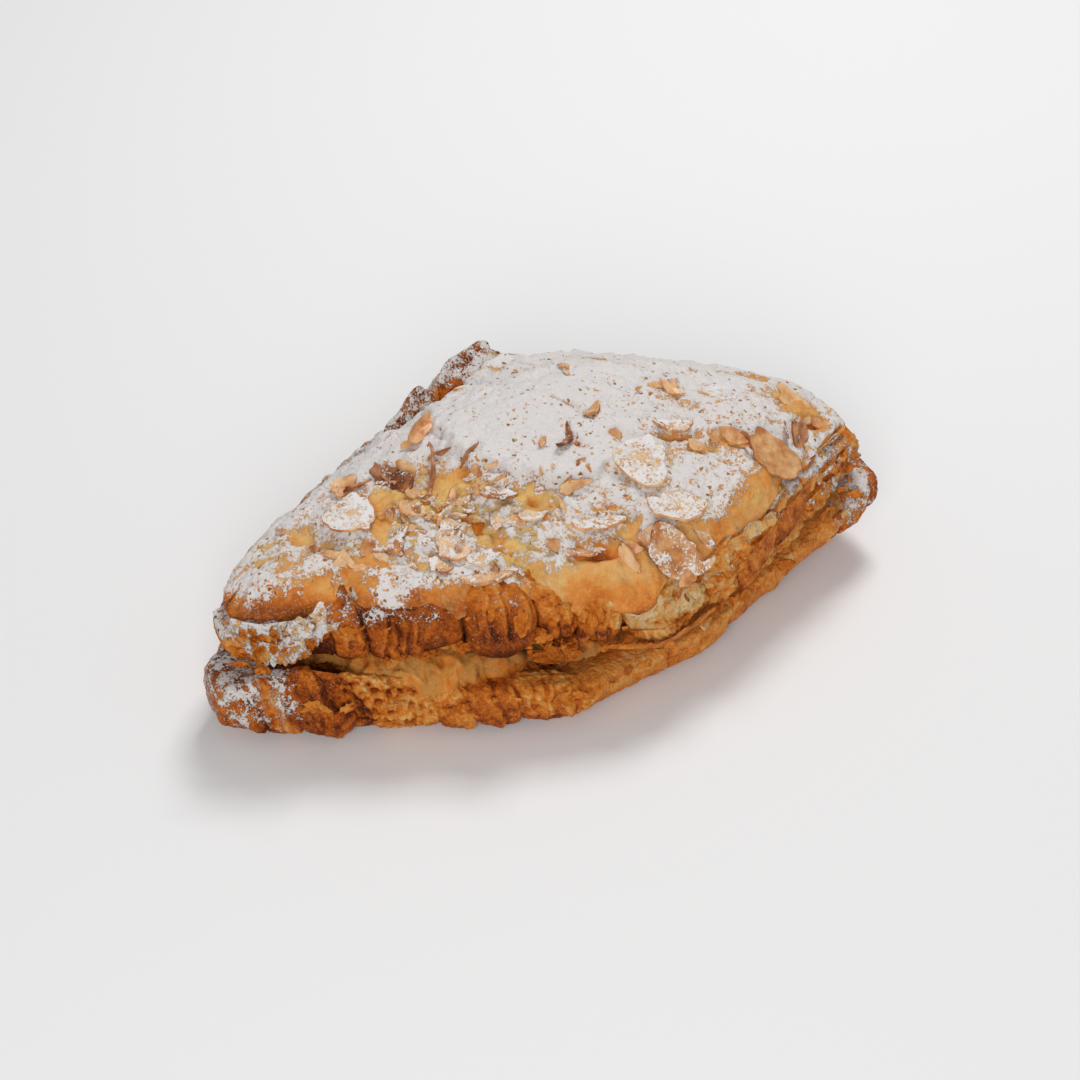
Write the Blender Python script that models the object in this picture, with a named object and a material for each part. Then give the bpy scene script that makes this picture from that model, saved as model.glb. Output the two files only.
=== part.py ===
"""An almond croissant, split in two and filled with almond cream, with more cream and
flaked almonds baked on top.

X runs from tip to tip and Y from the open front (-Y) to the back. +Z is up. The origin
lies under the middle of the bounding box, on the surface that the croissant rests on.
"""

import math
from dataclasses import dataclass
from typing import Callable

import bmesh
import bpy
from mathutils import Euler, Vector
from mathutils.bvhtree import BVHTree

MM = 0.001

# Driving dimensions of the whole croissant
LENGTH = 180 * MM
GAP = 0.35 * MM  # clearance between two pieces that touch

# The two cuts: the top of the lower half, and the underside of the upper half
LOWER_CUT = 11.2 * MM
CUT_RISE_LEFT = 9.5 * MM  # how much the cut climbs from the middle to the left tip
CUT_RISE_RIGHT = 14.0 * MM
FILLING_DEPTH = 10.2 * MM
FILLING_PEAK = -0.25  # where the cream is deepest, as a share of the half length
FILLING_SPREAD = 0.42
SEAM_DEPTH = 1.3 * MM  # what is left of the cream where the halves nearly close
FILLING_CROWN = 1.5 * MM

# The upper half
LID_SHOULDER = 32.5 * MM  # height of its upper edge at the middle
LID_DROP_LEFT = 6 * MM  # how much lower that edge is at the left tip
LID_DROP_RIGHT = 3 * MM
LID_CROWN = 9.5 * MM
FOLD = (3 * MM, 49 * MM, 17 * MM, 8 * MM, 10 * MM)  # x, y, half sizes and height of the raised back fold

# The cream on top
TOPPING_DEPTH = 4.4 * MM
# Its thick middle: x, y, half sizes and extra depth
PLATEAU = (12 * MM, 11 * MM, 31 * MM, 29 * MM, 2.8 * MM)
MOUNDS = (  # x, y, half sizes and height of each rise (or, below zero, hollow) of the spread cream, mm
    (-72, -17, 9, 9, 2.8),
    (-49, -9, 8, 7, 1.2),
    (-40, -33, 14, 5, 3.0),
    (-1, -43, 15, 6, 3.0),
    (24, 42, 10, 6, 2.0),
    (46, 31, 8, 6, -2.0),
    (-30, -19, 14, 9, -3.0),
    (-26, -5, 8, 7, -3.0),
    (-7, -21, 11, 5, -2.6),
    (42, -31, 12, 7, 2.4),
    (22, -18, 9, 7, 1.2),
    (32, 24, 16, 12, 1.6),
    (52, -4, 13, 10, 1.2),
    (-46, 6, 10, 6, 1.4),
    (74, 2, 7, 8, 1.2),
)
# How far the front edge of the spread cream stands inside its outline: x, and mm
TOPPING_INSET = (
    (-83, 7.0), (-75, 2.8), (-62, 3.4), (-57, 4.6), (-50, -1.2), (-38, -0.6), (-28, 1.6), (-22, 0.6),
    (-17, 2.4), (-8, -0.6), (9, 0.8), (14, 3.0), (19, 3.4), (26, 1.2), (33, 3.0), (48, 1.2), (58, 4.8),
    (65, 3.0), (76, 5.0), (83, 6.0),
)

# Sliced almonds: x, y, length and width in mm, then the turn about +Z and the tilt in degrees
FLAKES = (
    (-49.8, -8, 13, 12, 60, 4),
    (-31.5, -22.5, 12.5, 11.5, 60, 8),
    (20.5, -19.5, 13, 12.5, 35, -8),
    (-35.5, -0.5, 11.5, 8.5, -60, 34),
    (-48, 3.2, 9.5, 5.5, 20, 16),
    (-26, -1, 12.5, 5.5, 68, -80),
    (-23, 15, 14, 5, 40, 58),
    (-14.5, -16.5, 10.5, 6.5, 5, -24),
    (2.5, -20.5, 8.5, 2.2, -6, 20),
    (3, -32, 13.5, 7, -12, -16),
    (24, -31.5, 14, 7.5, -8, -14),
    (56.5, -20.5, 13.5, 9, -10, 14),
    (66, -15, 5.5, 10.5, 22, 74),
    (73, -3, 12, 7, -42, 10),
    (34, -8, 12.5, 6, 0, -20),
    (41, 6, 9, 4.5, -60, 20),
    (24, 13, 12, 8, -20, -4),
    (20, -40.5, 15, 9.5, -14, 30),
    (-42.5, -19.5, 10, 7, 35, -18),
    (-66, -26, 10, 6, 30, 18),
    (-26, -34.5, 14.5, 4, -10, -36),
    (6, -8.5, 8, 4.5, 50, -34),
    (-35.5, -11.5, 9.5, 6.5, 62, 16),
    (16, 0.5, 6.5, 3.6, 20, -24),
    (-7, 25, 11, 7, -15, 3),
    (54, 4, 12, 8, 30, 4),
    (47.5, -15.5, 7.5, 4.6, -50, 34),
)
FLAKE_THICKNESS = 0.9 * MM
FLAKE_CUP = 0.7 * MM  # how far a flake's ends curl above its middle
FLAKE_CORNERS = 12
FLAKE_POINT = 0.28  # how much narrower the pointed end is
FLAKE_CLEARANCE = GAP + 0.15 * MM  # between a flake and the cream under it

CRUST_BROWN = (0.42, 0.17, 0.04, 1)
CREAM_TAN = (0.47, 0.24, 0.07, 1)
CREAM_GOLD = (0.60, 0.33, 0.09, 1)
ALMOND_TAN = (0.62, 0.38, 0.20, 1)


def between_points(points, x):
    """The height at x of the straight lines that join the points; 0 if there are none."""
    for (low, start), (high, end) in zip(points, points[1:]):
        if low <= x <= high:
            return start + (end - start) * (x - low) / (high - low)
    return 0.0


@dataclass
class Edge:
    """One long edge of a layer seen from above, as its distance from the line between the tips."""

    peak: float  # where it stands out most, from -1 at the left tip to 1 at the right one
    reach: float  # how far it stands out there beyond the tips' own radius
    left: float  # how round the outline is on the left of the peak: 1 is straight, 2 an ellipse
    right: float
    left_tip: float  # radius of the tip
    right_tip: float

    def out(self, s, close=1.0):
        span = self.peak + 1 if s < self.peak else 1 - self.peak
        roundness = self.left if s < self.peak else self.right
        share = min(1.0, abs(s - self.peak) / span)
        tip = self.left_tip + (self.right_tip - self.left_tip) * (s + 1) / 2
        return tip * close + self.reach * (1 - share**roundness) ** (1 / roundness)


@dataclass
class Outline:
    """A layer seen from above: two long edges that meet at the tips."""

    half_length: float
    left_y: float  # Y of the left tip
    right_y: float
    front: Edge
    back: Edge
    swells: tuple = ()  # s, width and reach of each place where the front stands out further
    inset: tuple = ()  # x and depth, in mm, of points along a front edge that is set back

    def edges(self, s, close=1.0):
        """Y of the front edge and of the back edge at s along the length (-1 to 1)."""
        line = self.left_y + (self.right_y - self.left_y) * (s + 1) / 2
        extra = sum(reach * math.exp(-(((s - at) / width) ** 2)) for at, width, reach in self.swells)
        extra -= between_points(self.inset, s * self.half_length / MM) * MM
        return line - self.front.out(s, close) - extra * close, line + self.back.out(s, close)

    def across(self, x, y):
        """-1 at the front edge, 0 halfway and 1 at the back edge."""
        front, back = self.edges(max(-0.98, min(0.98, x / self.half_length)))
        return (2 * y - front - back) / (back - front)


@dataclass
class Layer:
    """One baked layer: a loft of rounded sections between two blunt tips."""

    name: str
    outline: Outline
    bluntness: float  # how squarely the tips close: 2 is round, and more is blunter
    tip_heights: tuple  # Z at which the left and right tips close
    steps: tuple  # where the rolled dough steps, from -1 to 1
    step_depth: float  # how far each roll swells out past its steps
    skew: float  # how far the steps lean along X from front to back
    rim: Callable  # Z of the outermost edge at x, y
    bottom: Callable
    top: Callable
    squareness: float  # below 1 the sections are boxy
    rings: int
    around: int


def power(value, exponent):
    return math.copysign(abs(value) ** exponent, value)


def smooth(low, high, value):
    t = min(1.0, max(0.0, (value - low) / (high - low)))
    return t * t * (3 - 2 * t)


def swell(steps, s):
    """0 at each step of the roll, and 1 halfway to the next."""
    for low, high in zip(steps, steps[1:]):
        if low <= s <= high:
            return math.sin(math.pi * (s - low) / (high - low)) ** 0.7
    return 0.0


def mound(x, y, middle_x, middle_y, radius_x, radius_y, height):
    return height * math.exp(-(((x - middle_x) / radius_x) ** 2) - ((y - middle_y) / radius_y) ** 2)


# Layer outlines
BASE_OUTLINE = Outline(
    half_length=LENGTH / 2,
    left_y=-16.08 * MM,
    right_y=-13.58 * MM,
    front=Edge(-0.10, 30.9 * MM, 1.00, 1.00, 10.5 * MM, 2.5 * MM),
    back=Edge(0.14, 57 * MM, 1.12, 1.35, 4 * MM, 8.5 * MM),
    swells=((0.31, 0.14, 3.6 * MM), (0.89, 0.09, 3.0 * MM)),
)
FILLING_OUTLINE = Outline(
    half_length=0.80 * LENGTH / 2,
    left_y=-14.58 * MM,
    right_y=-10.58 * MM,
    front=Edge(-0.05, 27.5 * MM, 1.2, 1.15, 8 * MM, 6 * MM),
    back=Edge(0.14, 47 * MM, 1.1, 1.35, 6 * MM, 7 * MM),
)
LID_OUTLINE = Outline(
    half_length=0.955 * LENGTH / 2,
    left_y=-14.58 * MM,
    right_y=-5.58 * MM,
    front=Edge(0.13, 33 * MM, 1.12, 1.12, 6 * MM, 6 * MM),
    back=Edge(0.10, 54.5 * MM, 1.17, 1.35, 7 * MM, 8.5 * MM),
)
TOPPING_OUTLINE = Outline(
    half_length=0.92 * LENGTH / 2,
    left_y=-13.58 * MM,
    right_y=-8.58 * MM,
    front=Edge(0.10, 33.5 * MM, 1.05, 1.08, 7 * MM, 5 * MM),
    back=Edge(0.36, 49 * MM, 1.26, 1.40, 9 * MM, 9.5 * MM),
    inset=TOPPING_INSET,
)
LID_STEPS = (-1.0, -0.74, -0.64, -0.40, -0.17, 0.10, 0.36, 0.58, 0.80, 1.0)
BASE_STEPS = (-1.0, -0.88, -0.66, -0.38, -0.10, 0.22, 0.50, 0.74, 1.0)
LOBE_DROOP = 2.4 * MM
BASE_LIFT_LEFT = 1.0 * MM
BASE_LIFT_RIGHT = 12 * MM
FRONT_SAG = (32 * MM, -44 * MM, 42 * MM, 16 * MM, -4 * MM)  # the lid's edge droops at the front right


def base_lift(x):
    """How far the underside curls up towards each tip."""
    s = x / (LENGTH / 2)
    return BASE_LIFT_RIGHT * s**3 if s > 0 else BASE_LIFT_LEFT * s**4


def lower_cut(x, y):
    s = x / (LENGTH / 2)
    return LOWER_CUT + (CUT_RISE_RIGHT if s > 0 else CUT_RISE_LEFT) * abs(s) ** 4


def upper_cut(x, y):
    s = x / (LENGTH / 2)
    depth = SEAM_DEPTH + FILLING_DEPTH * math.exp(-(((s - FILLING_PEAK) / FILLING_SPREAD) ** 2))
    middle = max(0.0, 1 - LID_OUTLINE.across(x, y) ** 2)
    crown = FILLING_CROWN * middle * (1 - min(1.0, abs(s)) ** 2)
    return lower_cut(x, y) + depth + crown


def lid_underside(x, y):
    """The upper cut, with the outer ends of the rolls hanging a little below it."""
    s = x / (LENGTH / 2)
    droop = LOBE_DROOP * swell(LID_STEPS, s) * smooth(0.84, 0.98, abs(LID_OUTLINE.across(x, y)))
    return upper_cut(x, y) + GAP - droop * (1 - min(1.0, abs(s)) ** 6)


def lid_shoulder(x, y):
    """Height of the lid's upper edge."""
    s = max(-1.0, min(1.0, x / (LENGTH / 2)))
    drop = LID_DROP_RIGHT if s > 0 else LID_DROP_LEFT
    return LID_SHOULDER - drop * abs(s) ** 3 + mound(x, y, *FRONT_SAG)


def lid_top(x, y):
    s = min(1.0, abs(x / (LENGTH / 2)))
    v = min(1.0, abs(LID_OUTLINE.across(x, y)))
    crown = LID_CROWN * (1 - s**2.5) * (1 - v**2.5)
    return lid_shoulder(x, y) + crown + mound(x, y, *FOLD)


def lid_rim(x, y):
    return 0.45 * lid_underside(x, y) + 0.55 * lid_shoulder(x, y)


def topping_top(x, y):
    rise = sum(mound(x, y, mx * MM, my * MM, rx * MM, ry * MM, h * MM) for mx, my, rx, ry, h in MOUNDS)
    middle_x, middle_y, half_x, half_y, depth = PLATEAU
    away = math.hypot((x - middle_x) / half_x, (y - middle_y) / half_y)
    return lid_top(x, y) + TOPPING_DEPTH + rise + depth * smooth(1.05, 0.85, away)


LAYERS = (
    Layer(
        name="croissant_base",
        outline=BASE_OUTLINE,
        bluntness=4.2,
        tip_heights=(10 * MM, 16 * MM),
        steps=BASE_STEPS,
        step_depth=2.6 * MM,
        skew=0.05,
        rim=lambda x, y: 7.4 * MM + base_lift(x),
        bottom=lambda x, y: base_lift(x) - 1.2 * MM,
        top=lambda x, y: lower_cut(x, y) - GAP,
        squareness=0.55,
        rings=44,
        around=30,
    ),
    Layer(
        name="almond_cream_filling",
        outline=FILLING_OUTLINE,
        bluntness=4.0,
        tip_heights=(18 * MM, 19 * MM),
        steps=(-1.0, -0.55, -0.25, 0.0, 0.3, 1.0),
        step_depth=1.5 * MM,
        skew=0.0,
        rim=lambda x, y: 0.65 * lower_cut(x, y) + 0.35 * upper_cut(x, y),
        bottom=lower_cut,
        top=lambda x, y: upper_cut(x, y) - GAP,
        squareness=0.7,
        rings=30,
        around=20,
    ),
    Layer(
        name="croissant_lid",
        outline=LID_OUTLINE,
        bluntness=4.0,
        tip_heights=(25 * MM, 29 * MM),
        steps=LID_STEPS,
        step_depth=2.6 * MM,
        skew=0.03,
        rim=lid_rim,
        bottom=lid_underside,
        top=lid_top,
        squareness=0.5,
        rings=46,
        around=30,
    ),
    Layer(
        name="almond_cream_topping",
        outline=TOPPING_OUTLINE,
        bluntness=4.0,
        tip_heights=(30 * MM, 34 * MM),
        steps=(-1.0, -0.70, -0.60, -0.29, 0.36, 0.70, 1.0),
        step_depth=3.4 * MM,
        skew=0.0,
        rim=lambda x, y: lid_top(x, y) + 2.4 * MM,
        bottom=lambda x, y: lid_top(x, y) + GAP,
        top=topping_top,
        squareness=0.62,
        rings=42,
        around=30,
    ),
)


def section_point(layer, s, angle):
    """The layer's surface at s along its length (-1 to 1) and at an angle round its section."""
    x = s * layer.outline.half_length
    close = max(0.0, 1 - abs(s) ** layer.bluntness) ** (1 / layer.bluntness)  # shuts at each tip
    side = power(math.cos(angle), layer.squareness)
    lift = math.sin(angle)
    front, back = layer.outline.edges(s, close)
    bulge = layer.step_depth * swell(layer.steps, s + layer.skew * side) * close
    y = (back + front) / 2 + side * ((back - front) / 2 + bulge)
    rim = layer.rim(x, y)
    surface = layer.top(x, y) if lift > 0 else layer.bottom(x, y)
    z = rim + (surface - rim) * abs(lift) ** layer.squareness
    tip = layer.tip_heights[0 if s < 0 else 1]
    return Vector((x, y, max(0.0, tip + (z - tip) * close)))


def material(name, colour, roughness):
    made = bpy.data.materials.new(name)
    made.use_nodes = True
    shader = made.node_tree.nodes["Principled BSDF"]
    shader.inputs["Base Color"].default_value = colour
    shader.inputs["Roughness"].default_value = roughness
    shader.inputs["Metallic"].default_value = 0.0
    made.diffuse_color = colour
    return made


def object_from(bm, name, collection, finish):
    mesh = bpy.data.meshes.new(name)
    bm.to_mesh(mesh)
    bm.free()
    mesh.materials.append(finish)
    mesh.shade_smooth()
    made = bpy.data.objects.new(name, mesh)
    collection.objects.link(made)
    return made


def make_layer(layer, collection, finish):
    """A sphere whose poles become the tips, each vertex moved to its place in the loft."""
    bm = bmesh.new()
    bmesh.ops.create_uvsphere(bm, u_segments=layer.around, v_segments=layer.rings, radius=1)
    for vertex in bm.verts:
        pole, out, up = vertex.co.z, vertex.co.x, vertex.co.y
        turn = 1 - 2 * math.acos(max(-1.0, min(1.0, pole))) / math.pi
        s = 0.45 * pole + 0.55 * turn  # rings close up towards the tips
        vertex.co = section_point(layer, s, math.atan2(up, out))
    return object_from(bm, layer.name, collection, finish)


def make_flake_mesh(name, length, width, collection, finish):
    """A sliced almond: a thin disc with one pointed end, cupped along its length."""
    bm = bmesh.new()
    bmesh.ops.create_cone(
        bm, cap_ends=True, segments=FLAKE_CORNERS, radius1=1, radius2=0.94, depth=1
    )
    for vertex in bm.verts:
        u, v, level = vertex.co
        taper = 1 - FLAKE_POINT * (u + 1) / 2
        curl = FLAKE_CUP * u * u
        vertex.co = (u * length / 2, v * taper * width / 2, level * FLAKE_THICKNESS + curl)
    return object_from(bm, name, collection, finish)


def settle(flake, ground, x, y, turn, tilt):
    """Lays a flake on the cream: turned, tilted, and raised until it is clear by the gap."""
    flake.rotation_euler = Euler((math.radians(tilt), 0, math.radians(turn)))
    turned = flake.rotation_euler.to_matrix()
    clear = -math.inf
    for vertex in flake.data.vertices:
        for share in (1.0, 0.5, 0.0):
            reach = turned @ Vector((vertex.co.x * share, vertex.co.y * share, vertex.co.z))
            hit = ground.ray_cast(Vector((x + reach.x, y + reach.y, 1)), Vector((0, 0, -1)))[0]
            if hit:
                clear = max(clear, hit.z - reach.z)
    flake.location = (x, y, clear + FLAKE_CLEARANCE)


def main():
    for existing in list(bpy.data.objects):
        bpy.data.objects.remove(existing)
    collection = bpy.data.collections.new("almond_croissant")
    bpy.context.scene.collection.children.link(collection)
    crust = material("browned_crust", CRUST_BROWN, 0.6)
    finishes = {
        "croissant_base": crust,
        "croissant_lid": crust,
        "almond_cream_filling": material("baked_filling", CREAM_TAN, 0.55),
        "almond_cream_topping": material("baked_topping", CREAM_GOLD, 0.6),
    }
    made = {}
    for layer in LAYERS:
        made[layer.name] = make_layer(layer, collection, finishes[layer.name])
    bpy.context.view_layer.update()
    both = bmesh.new()
    for name in ("croissant_lid", "almond_cream_topping"):
        both.from_mesh(made[name].data)
    ground = BVHTree.FromBMesh(both)
    both.free()
    almond = material("sliced_almond", ALMOND_TAN, 0.5)
    for number, (x, y, length, width, turn, tilt) in enumerate(FLAKES, start=1):
        name = f"almond_flake_{number:02d}"
        flake = make_flake_mesh(name, length * MM, width * MM, collection, almond)
        settle(flake, ground, x * MM, y * MM, turn, tilt)


main()
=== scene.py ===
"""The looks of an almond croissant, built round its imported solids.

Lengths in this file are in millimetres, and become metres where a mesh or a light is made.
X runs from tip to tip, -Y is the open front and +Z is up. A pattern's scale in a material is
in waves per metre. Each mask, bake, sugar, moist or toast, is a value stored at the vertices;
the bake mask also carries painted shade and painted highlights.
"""

import math

import bpy
import numpy as np
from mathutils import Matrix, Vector
from mathutils.bvhtree import BVHTree


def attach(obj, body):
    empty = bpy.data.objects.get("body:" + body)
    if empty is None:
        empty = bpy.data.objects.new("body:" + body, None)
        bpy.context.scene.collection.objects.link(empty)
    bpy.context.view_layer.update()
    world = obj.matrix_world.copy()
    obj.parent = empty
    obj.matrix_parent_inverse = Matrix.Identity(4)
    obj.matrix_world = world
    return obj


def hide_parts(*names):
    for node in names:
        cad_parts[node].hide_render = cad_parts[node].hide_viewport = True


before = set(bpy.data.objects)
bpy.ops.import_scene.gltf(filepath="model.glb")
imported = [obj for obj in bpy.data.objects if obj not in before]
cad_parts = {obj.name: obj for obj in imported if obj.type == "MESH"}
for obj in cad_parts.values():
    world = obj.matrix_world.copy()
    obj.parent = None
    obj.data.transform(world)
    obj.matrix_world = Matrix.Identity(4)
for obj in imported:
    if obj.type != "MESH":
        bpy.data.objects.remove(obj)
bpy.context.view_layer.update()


# ---------------------------------------------------------------------------------------
# Lower half. Laminated dough rolled into a crescent, baked, then cut level. Its rolled
# steps lean towards the middle, and the crust is browned, with a torn crumb at the front.

HALF_LENGTH = 90.0
METRE = 0.001  # a millimetre in metres


def smooth(low, high, value):
    """0 below low and 1 above high, with an S-shaped cubic between."""
    t = np.clip((value - low) / (high - low), 0, 1)
    return t * t * (3 - 2 * t)


def bell(value, middle, width):
    """A Gaussian of height 1 at the middle, down to 1/e at that width."""
    return np.exp(-(((value - middle) / width) ** 2))


def hill(x, y, middle_x, middle_y, radius_x, radius_y, turn=0.0):
    """A Gaussian hill of height 1 over an ellipse, turned by that many degrees."""
    c, d = math.cos(math.radians(turn)), math.sin(math.radians(turn))
    u = (x - middle_x) * c + (y - middle_y) * d
    v = (y - middle_y) * c - (x - middle_x) * d
    return np.exp(-((u / radius_x) ** 2) - (v / radius_y) ** 2)


def noise(points, seed):
    """Gradient noise, about -1 to 1: every corner of a unit lattice has its own slope, and the
    eight slopes round a point are blended with a quintic fade."""
    rng = np.random.default_rng(seed)
    order = rng.permutation(256)
    slopes = rng.normal(size=(256, 3))
    slopes /= np.linalg.norm(slopes, axis=1)[:, None]
    cell = np.floor(points).astype(int)
    part = points - cell
    fade = part**3 * (part * (part * 6 - 15) + 10)
    total = 0.0
    for corner in np.ndindex(2, 2, 2):
        key = order[(cell[..., 0] + corner[0]) & 255]
        key = order[(key + cell[..., 1] + corner[1]) & 255]
        key = order[(key + cell[..., 2] + corner[2]) & 255]
        weight = np.prod(np.where(corner, fade, 1 - fade), axis=-1)
        total = total + weight * np.sum(slopes[key] * (part - corner), axis=-1)
    return total * 1.6


def rough(points, size, octaves, seed, gain=0.5):
    """Noise summed over octaves: each is half the size of the last and gain times as high."""
    total, height = 0.0, 1.0
    for octave in range(octaves):
        total = total + height * noise(points / size * 2**octave + 17.3 * octave, seed + octave)
        height *= gain
    return total


def ridges(points, size, octaves, seed, gain=0.55):
    """Ridged noise, about -1 to 1: each octave is 1 - 4 |noise|, so its crests are sharp."""
    total, height = 0.0, 1.0
    for octave in range(octaves):
        wave = noise(points / size * 2**octave + 9.1 * octave, seed + octave)
        total = total + height * (1 - 4 * np.abs(wave))
        height *= gain
    return total * 0.6


def cells(points, size, seed):
    """Distance to the nearest of one random point per cell, and that point's own random value."""
    rng = np.random.default_rng(seed)
    order = rng.permutation(256)
    spots = rng.random((256, 4))
    scaled = points / size
    cell = np.floor(scaled).astype(int)
    nearest = np.full(scaled.shape[:-1], 9.0)
    value = np.zeros(scaled.shape[:-1])
    for step in np.ndindex(3, 3, 3):
        at = cell + np.array(step) - 1
        key = order[at[..., 0] & 255]
        key = order[(key + at[..., 1]) & 255]
        key = order[(key + at[..., 2]) & 255]
        away = np.linalg.norm(at + spots[key][..., :3] - scaled, axis=-1)
        value = np.where(away < nearest, spots[key][..., 3], value)
        nearest = np.minimum(nearest, away)
    return nearest, value


def long_edge(s, close, peak, reach, left, right, left_tip, right_tip):
    """How far a long edge stands out from the line between the tips, at s from -1 to 1: a
    superellipse each side of its peak, on top of the tips' own radius."""
    span = np.where(s < peak, peak + 1, 1 - peak)
    power = np.where(s < peak, left, right)
    share = np.clip(np.abs(s - peak) / span, 0, 1)
    tip = left_tip + (right_tip - left_tip) * (s + 1) / 2
    return tip * close + reach * (1 - share**power) ** (1 / power)


def edges(shape, s, close=1.0):
    """Y of the front and back edges of a layer at s along its length."""
    left, right = shape["tips_y"]
    line = left + (right - left) * (s + 1) / 2
    return line - long_edge(s, close, *shape["front"]), line + long_edge(s, close, *shape["back"])


def edges_at(shape, x, end=0.98):
    """Y of a layer's front and back edges at x, which is kept off the very tips."""
    return edges(shape, np.clip(x / shape["half"], -end, end))


def across(shape, x, y):
    """-1 at a layer's front edge, 0 halfway and 1 at its back edge."""
    front, back = edges_at(shape, x)
    return (2 * y - front - back) / (back - front)


def table_at(x, table):
    """The second column of a table, interpolated between its rows where the first one is x."""
    return np.interp(x, *np.transpose(table))


def stations(count):
    """Places along the length, from -1 to 1, that close up towards the tips."""
    turn = np.linspace(-1, 1, count)
    return 0.25 * np.sin(turn * np.pi / 2) + 0.75 * turn


def section_angles(count, square, half_width, half_height, top, bottom):
    """Angles round a section, spaced evenly along its outline, but wider by 1/top on its upper
    face and by 1/bottom on its lower one."""
    angle = np.linspace(-np.pi, np.pi, 20001)
    side = np.abs(np.cos(angle)) ** square * np.sign(np.cos(angle)) * half_width
    lift = np.abs(np.sin(angle)) ** square * np.sign(np.sin(angle)) * half_height
    run = np.hypot(np.diff(side), np.diff(lift))
    flat = smooth(0.93, 0.80, np.abs(side[1:]) / half_width)
    density = 1 + flat * (np.where(angle[1:] > 0, top, bottom) - 1)
    gone = np.concatenate([[0], np.cumsum(run * density)])
    return np.interp(np.arange(count) / count * gone[-1], gone, angle)


def loft(shape, s, angle, rim, under, over, bulge):
    """A layer's surface: superellipse sections from rim to the under and over surfaces, which are
    functions of x and y, pinched shut towards each tip."""
    x = s * shape["half"] + 0 * angle
    close = np.maximum(0, 1 - np.abs(s) ** shape["blunt"]) ** (1 / shape["blunt"])
    cosine, sine = np.cos(angle), np.sin(angle)
    side = np.sign(cosine) * np.abs(cosine) ** shape["square"]
    front, back = edges(shape, s, close)
    y = (front + back) / 2 + side * ((back - front) / 2 + bulge(s, side) * close)
    level = rim(x, y)
    face = np.where(sine > 0, over(x, y), under(x, y))
    z = level + (face - level) * np.abs(sine) ** np.where(sine > 0, shape["shoulder"], shape["square"])
    tip = np.where(s < 0, shape["tips_z"][0], shape["tips_z"][1])
    return np.stack([x, y, np.maximum(0, tip + (z - tip) * close)], axis=-1)


def layer(shape, rows, columns, spacing, **surfaces):
    """The loft of a whole layer, with that many rows along it and columns round it. Its spacing is
    half the width and height of a section, and how closely its top and bottom are divided."""
    angles = section_angles(columns, shape["square"], *spacing)
    s, angle = np.meshgrid(stations(rows), angles, indexing="ij")
    return loft(shape, s, angle, **surfaces)


def normals(grid):
    """Unit normals of a grid that closes across its columns, from central differences."""
    along = np.gradient(grid, axis=0)
    round_it = np.roll(grid, -1, axis=1) - np.roll(grid, 1, axis=1)
    found = np.cross(round_it, along)
    return found / np.maximum(np.linalg.norm(found, axis=-1, keepdims=True), 1e-9)


def raised(grid, height):
    """The grid moved along its normals, less and less over the last rows before each end."""
    rows = np.arange(len(grid))
    fade = smooth(0, 7, np.minimum(rows, rows[::-1]))[:, None]
    return grid + normals(grid) * (height * fade)[..., None]


def closed_grid(grid, **masks):
    """Vertices, quads, triangles and masks of a grid whose columns close into rings and whose
    first and last rows close to a point."""
    rows, columns = grid.shape[:2]
    ring = 1 + np.arange((rows - 2) * columns).reshape(rows - 2, columns)
    beside = np.roll(ring, -1, axis=1)
    last = (rows - 2) * columns + 1
    quads = np.stack([ring[:-1], beside[:-1], beside[1:], ring[1:]], -1).reshape(-1, 4)
    first_cap = np.stack([np.zeros(columns, int), beside[0], ring[0]], -1)
    last_cap = np.stack([np.full(columns, last), ring[-1], beside[-1]], -1)
    places = np.concatenate([grid[:1].mean(1), grid[1:-1].reshape(-1, 3), grid[-1:].mean(1)])
    values = {
        name: np.concatenate([mask[:1].mean(1), mask[1:-1].reshape(-1), mask[-1:].mean(1)])
        for name, mask in masks.items()
    }
    return places, quads, np.concatenate([first_cap, last_cap]), values


def piece(name, parts, material, replaces=()):
    """One object from closed grids. A grid whose volume comes out negative is turned round."""
    places, quads, triangles, values, start = [], [], [], {}, 0
    for spots, fours, threes, masks in parts:
        corners = np.concatenate([threes, fours[:, [0, 1, 2]], fours[:, [0, 2, 3]]])
        a, b, c = (spots[corners[:, k]] - spots[0] for k in range(3))
        if np.sum(a * np.cross(b, c)) < 0:
            fours, threes = fours[:, ::-1], threes[:, ::-1]
        places.append(spots)
        quads.append(fours + start)
        triangles.append(threes + start)
        for key, mask in masks.items():
            values.setdefault(key, []).append(mask)
        start += len(spots)
    places, quads, triangles = map(np.concatenate, (places, quads, triangles))
    mesh = bpy.data.meshes.new(name)
    mesh.vertices.add(len(places))
    mesh.vertices.foreach_set("co", (places * METRE).astype(np.float32).ravel())
    mesh.loops.add(quads.size + triangles.size)
    mesh.loops.foreach_set("vertex_index", np.concatenate([quads.ravel(), triangles.ravel()]))
    mesh.polygons.add(len(quads) + len(triangles))
    starts = [np.arange(len(quads)) * 4, quads.size + np.arange(len(triangles)) * 3]
    mesh.polygons.foreach_set("loop_start", np.concatenate(starts))
    mesh.update(calc_edges=True)
    mesh.validate()
    for key, masks in values.items():
        layer = mesh.attributes.new(key, "FLOAT", "POINT")
        layer.data.foreach_set("value", np.concatenate(masks).astype(np.float32))
    mesh.shade_smooth()
    mesh.materials.append(material)
    made = bpy.data.objects.new(name, mesh)
    bpy.context.scene.collection.objects.link(made)
    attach(made, "root")
    if replaces:
        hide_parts(*replaces)
    return made


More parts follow.
